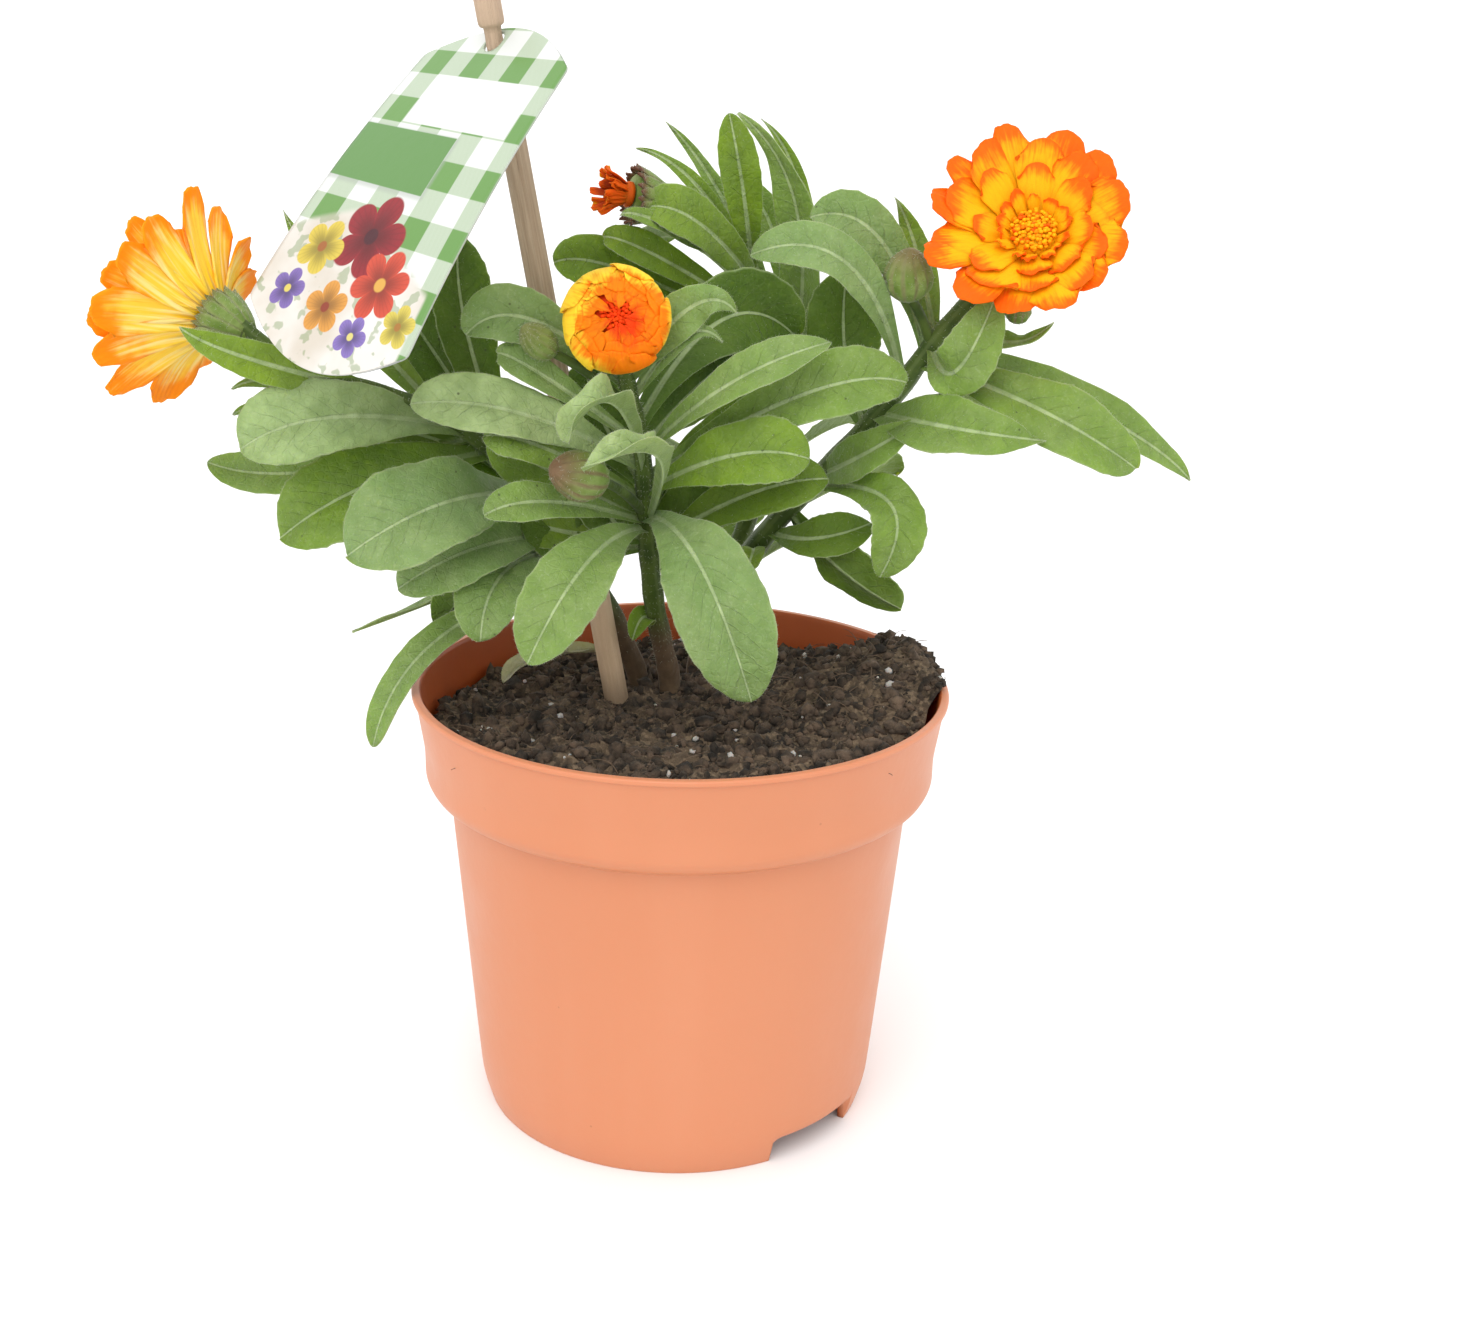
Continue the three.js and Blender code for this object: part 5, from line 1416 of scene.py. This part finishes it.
def add_open_rows(piece, bloom, name, rows):
    """The left bloom's petals are shorter on its right. The right bloom's follow its outermost ones."""
    turns, reaches = np.array(sorted(RIGHT_PETALS)).T[:2]
    draw = 0
    for row, (count, *size) in enumerate(rows):
        for k in range(count):
            made = np.array(size)
            angle = 2 * np.pi * (k + 0.5 * (row % 2)) / count + jitter(0.09)
            made[2] *= 1 + jitter(0.07 if name == "left" else 0.15)
            made[3] *= 1 + jitter(0.14)
            made[5] += jitter(9)
            if name == "left":
                made[2] *= 1 - 0.22 * smoothstep(bloom.way(1.0, angle)[0], 0.2, 0.6)
            elif row == 0:
                degrees, made[2], made[3] = RIGHT_PETALS[k]
                angle = math.radians(degrees)
            else:
                made[2] *= np.interp(math.degrees(angle) % 360, turns, reaches, period=360) / MEAN_RIGHT_PETAL
            add_petal(piece, bloom, angle, made, PETAL_ROLL + jitter(0.08), draw)
            draw += 1


def add_closed_rows(piece, bloom, rows):
    """Rows of petals that close over each other in a ball."""
    draw = 0
    for row, (count, *size) in enumerate(rows):
        for k in range(count):
            made = np.array(size)
            made[0] -= 0.4 * (k % 2)
            made[2] += jitter(0.06)
            made[3] *= 1 + jitter(0.1)
            angle = 2 * np.pi * (k + 0.5 * (row % 2)) / count + jitter(0.1)
            add_petal(piece, bloom, angle, made, PETAL_ROLL + jitter(0.06), draw, True)
            draw += 1


def add_petals(name, material):
    data = BLOOMS[name]
    bloom = Bloom(data["mouth"], data["axis"])
    piece = Piece("petals_" + name)
    add_core(piece, bloom, data["core"], 1.0 if "closed" in data else FOOT_LOOK, 0)
    if "closed" in data:
        add_closed_rows(piece, bloom, data["closed"])
    else:
        add_open_rows(piece, bloom, name, data["rows"])
    if "disc" in data:
        add_disc(piece, bloom, **data["disc"])
    return piece.make([material], ["bloom_" + name + "_petals"])


def add_bract(piece, bloom, cup, angle, reach, out, brown, slot):
    """A narrow green bract that hugs the cup. Gives the roots and ways of its hairs."""
    s = np.array([0, 0.2, 0.45, 0.65, 0.85, 1.0])
    fine = np.linspace(0, 1, 11)
    radii = np.interp(fine, s, np.array([0.34, 0.62, 0.88, 1.0, 1.05, 1.12]) * cup * out)
    length = CUP_LENGTH
    heights = [-length - 0.6, -length * 0.8, -length * 0.45, -length * 0.18, -0.5, reach + jitter(0.4)]
    heights = np.interp(fine, s, heights)
    halves = np.interp(fine, [0, 0.3, 0.6, 0.85, 1], [0.5, 1.25, 1.35, 0.8, 0.1]) * cup / 5.6
    u = np.array([-1, -0.5, 0, 0.5, 1])
    keel = 0.28 * (1 - u**2)
    level, outward = bloom.way(1.0, angle + np.pi / 2), bloom.way(1.0, angle)
    blade, roots, ways = Blade(), [], []
    for i, (r, h, half) in enumerate(zip(radii, heights, halves)):
        centre = bloom.point(r, angle, h)
        upper, lower = sheet_sides(centre, level, u * half, outward, (keel + 0.2, keel - 0.25))
        blade.add_row(upper, lower, u * half, fine[i], np.abs(u), (brown, 0.3, 0, 0), 0)
        for _ in range(5 if 1 < i < 10 else 0):
            roots.append(upper[random.integers(0, 5)])
            ways.append(outward + 0.5 * random.normal(0, 1, 3))
    blade.join(piece, slot)
    return roots, ways


def add_cup(piece, data, slot, hair_slot):
    """The green cup under a bloom, in two rows of bracts."""
    bloom, cup, length = Bloom(data["mouth"], data["axis"]), data["cup"], CUP_LENGTH
    core = [
        (1.8, -length - 1), (2.2, -length), (cup * 0.62, -length * 0.78), (cup * 0.9, -length * 0.42),
        (cup * 0.96, -1.2), (cup * 0.8, -0.15),
    ]
    add_core(piece, bloom, core, FOOT_LOOK, slot)
    roots, ways = [], []
    count = 13
    for row, (reach, out) in enumerate(((0.9, 1.0), (0.2, 1.09))):
        for k in range(count):
            angle = 2 * np.pi * (k + 0.5 * row) / count
            found = add_bract(piece, bloom, cup, angle, reach, out, data["brown"], slot)
            roots += found[0]
            ways += found[1]
    add_hairs(piece, roots, ways, (0.4, 1.1), hair_slot)


def add_bud(piece, slot, stem_slot, hair_slot, name, share, foot, tip, radius, brown):
    """A closed bud of overlapping bracts, whose edges wind round it, on its stalk."""
    start, end = np.array(foot, float), np.array(tip, float)
    s = np.linspace(0, 1, 18)
    widths = [0.35, 0.66, 0.9, 1.0, 0.74, 0.4, 0.14]
    widths = np.interp(s, [0, 0.1, 0.25, 0.5, 0.78, 0.93, 1], widths) * radius
    sides, ribs = 66, 11
    angle = around(sides)[None]
    rings = round_rings(start + np.outer(s, end - start), widths, sides)
    centre = rings.mean(1)
    saw = ((angle + 0.35 * s[:, None]) * ribs / (2 * np.pi)) % 1.0
    rings = spread(rings, 0.9 + 0.13 * saw - 0.16 * smoothstep(saw, 0.9, 1.0))
    place = np.stack(np.broadcast_arrays(angle * radius, 0.2 + 0.75 * s[:, None], np.abs(2 * saw - 1)), -1)
    place = np.concatenate([place.reshape(-1, 3), [[0, 0, 0], [0, 1, 1]]])
    piece.add(*loft(rings, "fan"), place, (0.25 + 0.75 * brown, 0.35 + 0.6 * brown, 0, 0), slot)
    count = 260
    i, j = random.integers(1, 17, count), random.integers(0, sides, count)
    ways = unit(rings[i, j] - centre[i]) + 0.45 * random.normal(0, 1, (count, 3)) + 0.3 * unit(end - start)
    add_hairs(piece, rings[i, j], ways, (0.4, 1.2), hair_slot)
    origin, seat = stem_at(name, share), lerp(start, end, 0.12)
    middle = 0.5 * (origin + seat) + np.array([0, 0, 1.5])
    stalk = arc(origin, 2 * middle - 0.5 * (origin + seat), seat, np.linspace(0, 1, 12)[:, None])
    piece.add(*tube(stalk, np.linspace(1.25, 1.05, 12), 12, 0.05), (1.0, 1.0, 160.0), slot=stem_slot)


def add_opening_bud(material):
    """The bud that shows its first petals, at the top of the back stem."""
    piece = Piece("petals_opening")
    bloom = Bloom(OPENING_BUD["mouth"], OPENING_BUD["axis"])
    add_core(piece, bloom, [(3.0, 0.35), (3.1, 1.2), (2.2, 2.6)], FOOT_LOOK, 0)
    for k in range(17):
        inner = k % 2
        angle = 2 * np.pi * k / 17 + jitter(0.15)
        length = (7.6 if inner else 6.6) + jitter(1.6)
        size = (1.9 - 0.7 * inner, 0.9, length, 2.3, 76 + jitter(6), 62 + jitter(16))
        add_petal(piece, bloom, angle, size, 0.3, k)
    return piece.make([material], ["opening_bud_petals"])


def add_shoot(name, materials):
    """A stem with its leaves, cup and buds. Materials: leaf, stem, bract and hair."""
    piece = Piece("shoot_" + name + "_plant")
    leaf, stem, bract, hair = range(4)
    add_stem(piece, name, stem, hair)
    for index, row in enumerate(LEAVES[name]):
        add_leaf(piece, name, index, leaf, hair, *row)
    add_cup(piece, BLOOMS.get(name, OPENING_BUD), bract, hair)
    for row in BUDS:
        if row[0] == name:
            add_bud(piece, bract, stem, hair, *row)
    return piece.make(materials, ["shoot_" + name])


# The plant and its pot

pot_piece, drains = add_pot([pot_material()])
cut_with(pot_piece, drains)
add_peat([peat_material(), crumb_material(), perlite_material(), fibre_material()])
add_stake([wood_material()])
card_piece, card_hole_cutter = add_card([card_material()])
cut_with(card_piece, card_hole_cutter)
greens = [leaf_material(), stem_material(), bract_material(), hair_material()]
for shoot_name in STEMS:
    add_shoot(shoot_name, greens)
for bloom_name, bloom_data in BLOOMS.items():
    add_petals(bloom_name, petal_material("petal_" + bloom_name, **bloom_data["look"]))
add_opening_bud(petal_material("petal_opening", **OPENING_BUD["look"]))

# Floor, light and camera


def add_floor():
    mesh = bpy.data.meshes.new("floor")
    size = 40.0
    corners = [(-size, -size, 0), (size, -size, 0), (size, size, 0), (-size, size, 0)]
    mesh.from_pydata(corners, [], [(0, 1, 2, 3)])
    floor = bpy.data.objects.new("floor", mesh)
    bpy.context.scene.collection.objects.link(floor)
    s = Shader("floor", Roughness=0.85)
    s.colour = s.mix(s.noise(3, 2), (0.86, 0.86, 0.86), (0.88, 0.88, 0.88))
    mesh.materials.append(s.done())


def add_world():
    world = bpy.data.worlds.new("studio")
    world.use_nodes = True
    color, strength = world.node_tree.nodes["Background"].inputs[:2]
    color.default_value = (1, 1, 1, 1)
    strength.default_value = 1.3
    bpy.context.scene.world = world


def add_sun(name, azimuth, height, strength, spread):
    """A soft sun: azimuth 0 is behind the camera and 90 to the right, in degrees, like its height."""
    data = bpy.data.lights.new(name, "SUN")
    data.energy = strength
    data.angle = math.radians(spread)
    light = bpy.data.objects.new(name, data)
    a, h = math.radians(azimuth), math.radians(height)
    way = Vector((math.sin(a) * math.cos(h), -math.cos(a) * math.cos(h), math.sin(h)))
    light.rotation_euler = (-way).to_track_quat("-Z", "Y").to_euler()
    bpy.context.scene.collection.objects.link(light)


def add_camera():
    """Half a metre in front of the pot's axis, pitched down and turned and rolled a little."""
    pitch, yaw, roll = math.radians(19.0), math.radians(-1.35), math.radians(1.42)
    ahead = Vector((-math.sin(yaw) * math.cos(pitch), math.cos(yaw) * math.cos(pitch), -math.sin(pitch)))
    right = Vector((math.cos(yaw), math.sin(yaw), 0))
    up = right.cross(ahead)
    across = right * math.cos(roll) + up * math.sin(roll)
    upward = -right * math.sin(roll) + up * math.cos(roll)
    data = bpy.data.cameras.new("camera")
    data.sensor_fit = "HORIZONTAL"
    data.sensor_width = SENSOR_WIDTH
    data.lens = FOCAL_PIXELS / PHOTO_WIDTH * SENSOR_WIDTH
    camera = bpy.data.objects.new("camera", data)
    turn = Matrix((across, upward, -ahead)).transposed().to_4x4()
    camera.matrix_world = Matrix.Translation((SHIFT[0] / 1000, SHIFT[1] / 1000 - 0.5, 0.285)) @ turn
    bpy.context.scene.collection.objects.link(camera)
    bpy.context.scene.camera = camera


add_floor()
add_world()
add_sun("key", -15, 45, 1.3, 50)
add_camera()
bpy.context.scene.view_settings.view_transform = "Standard"
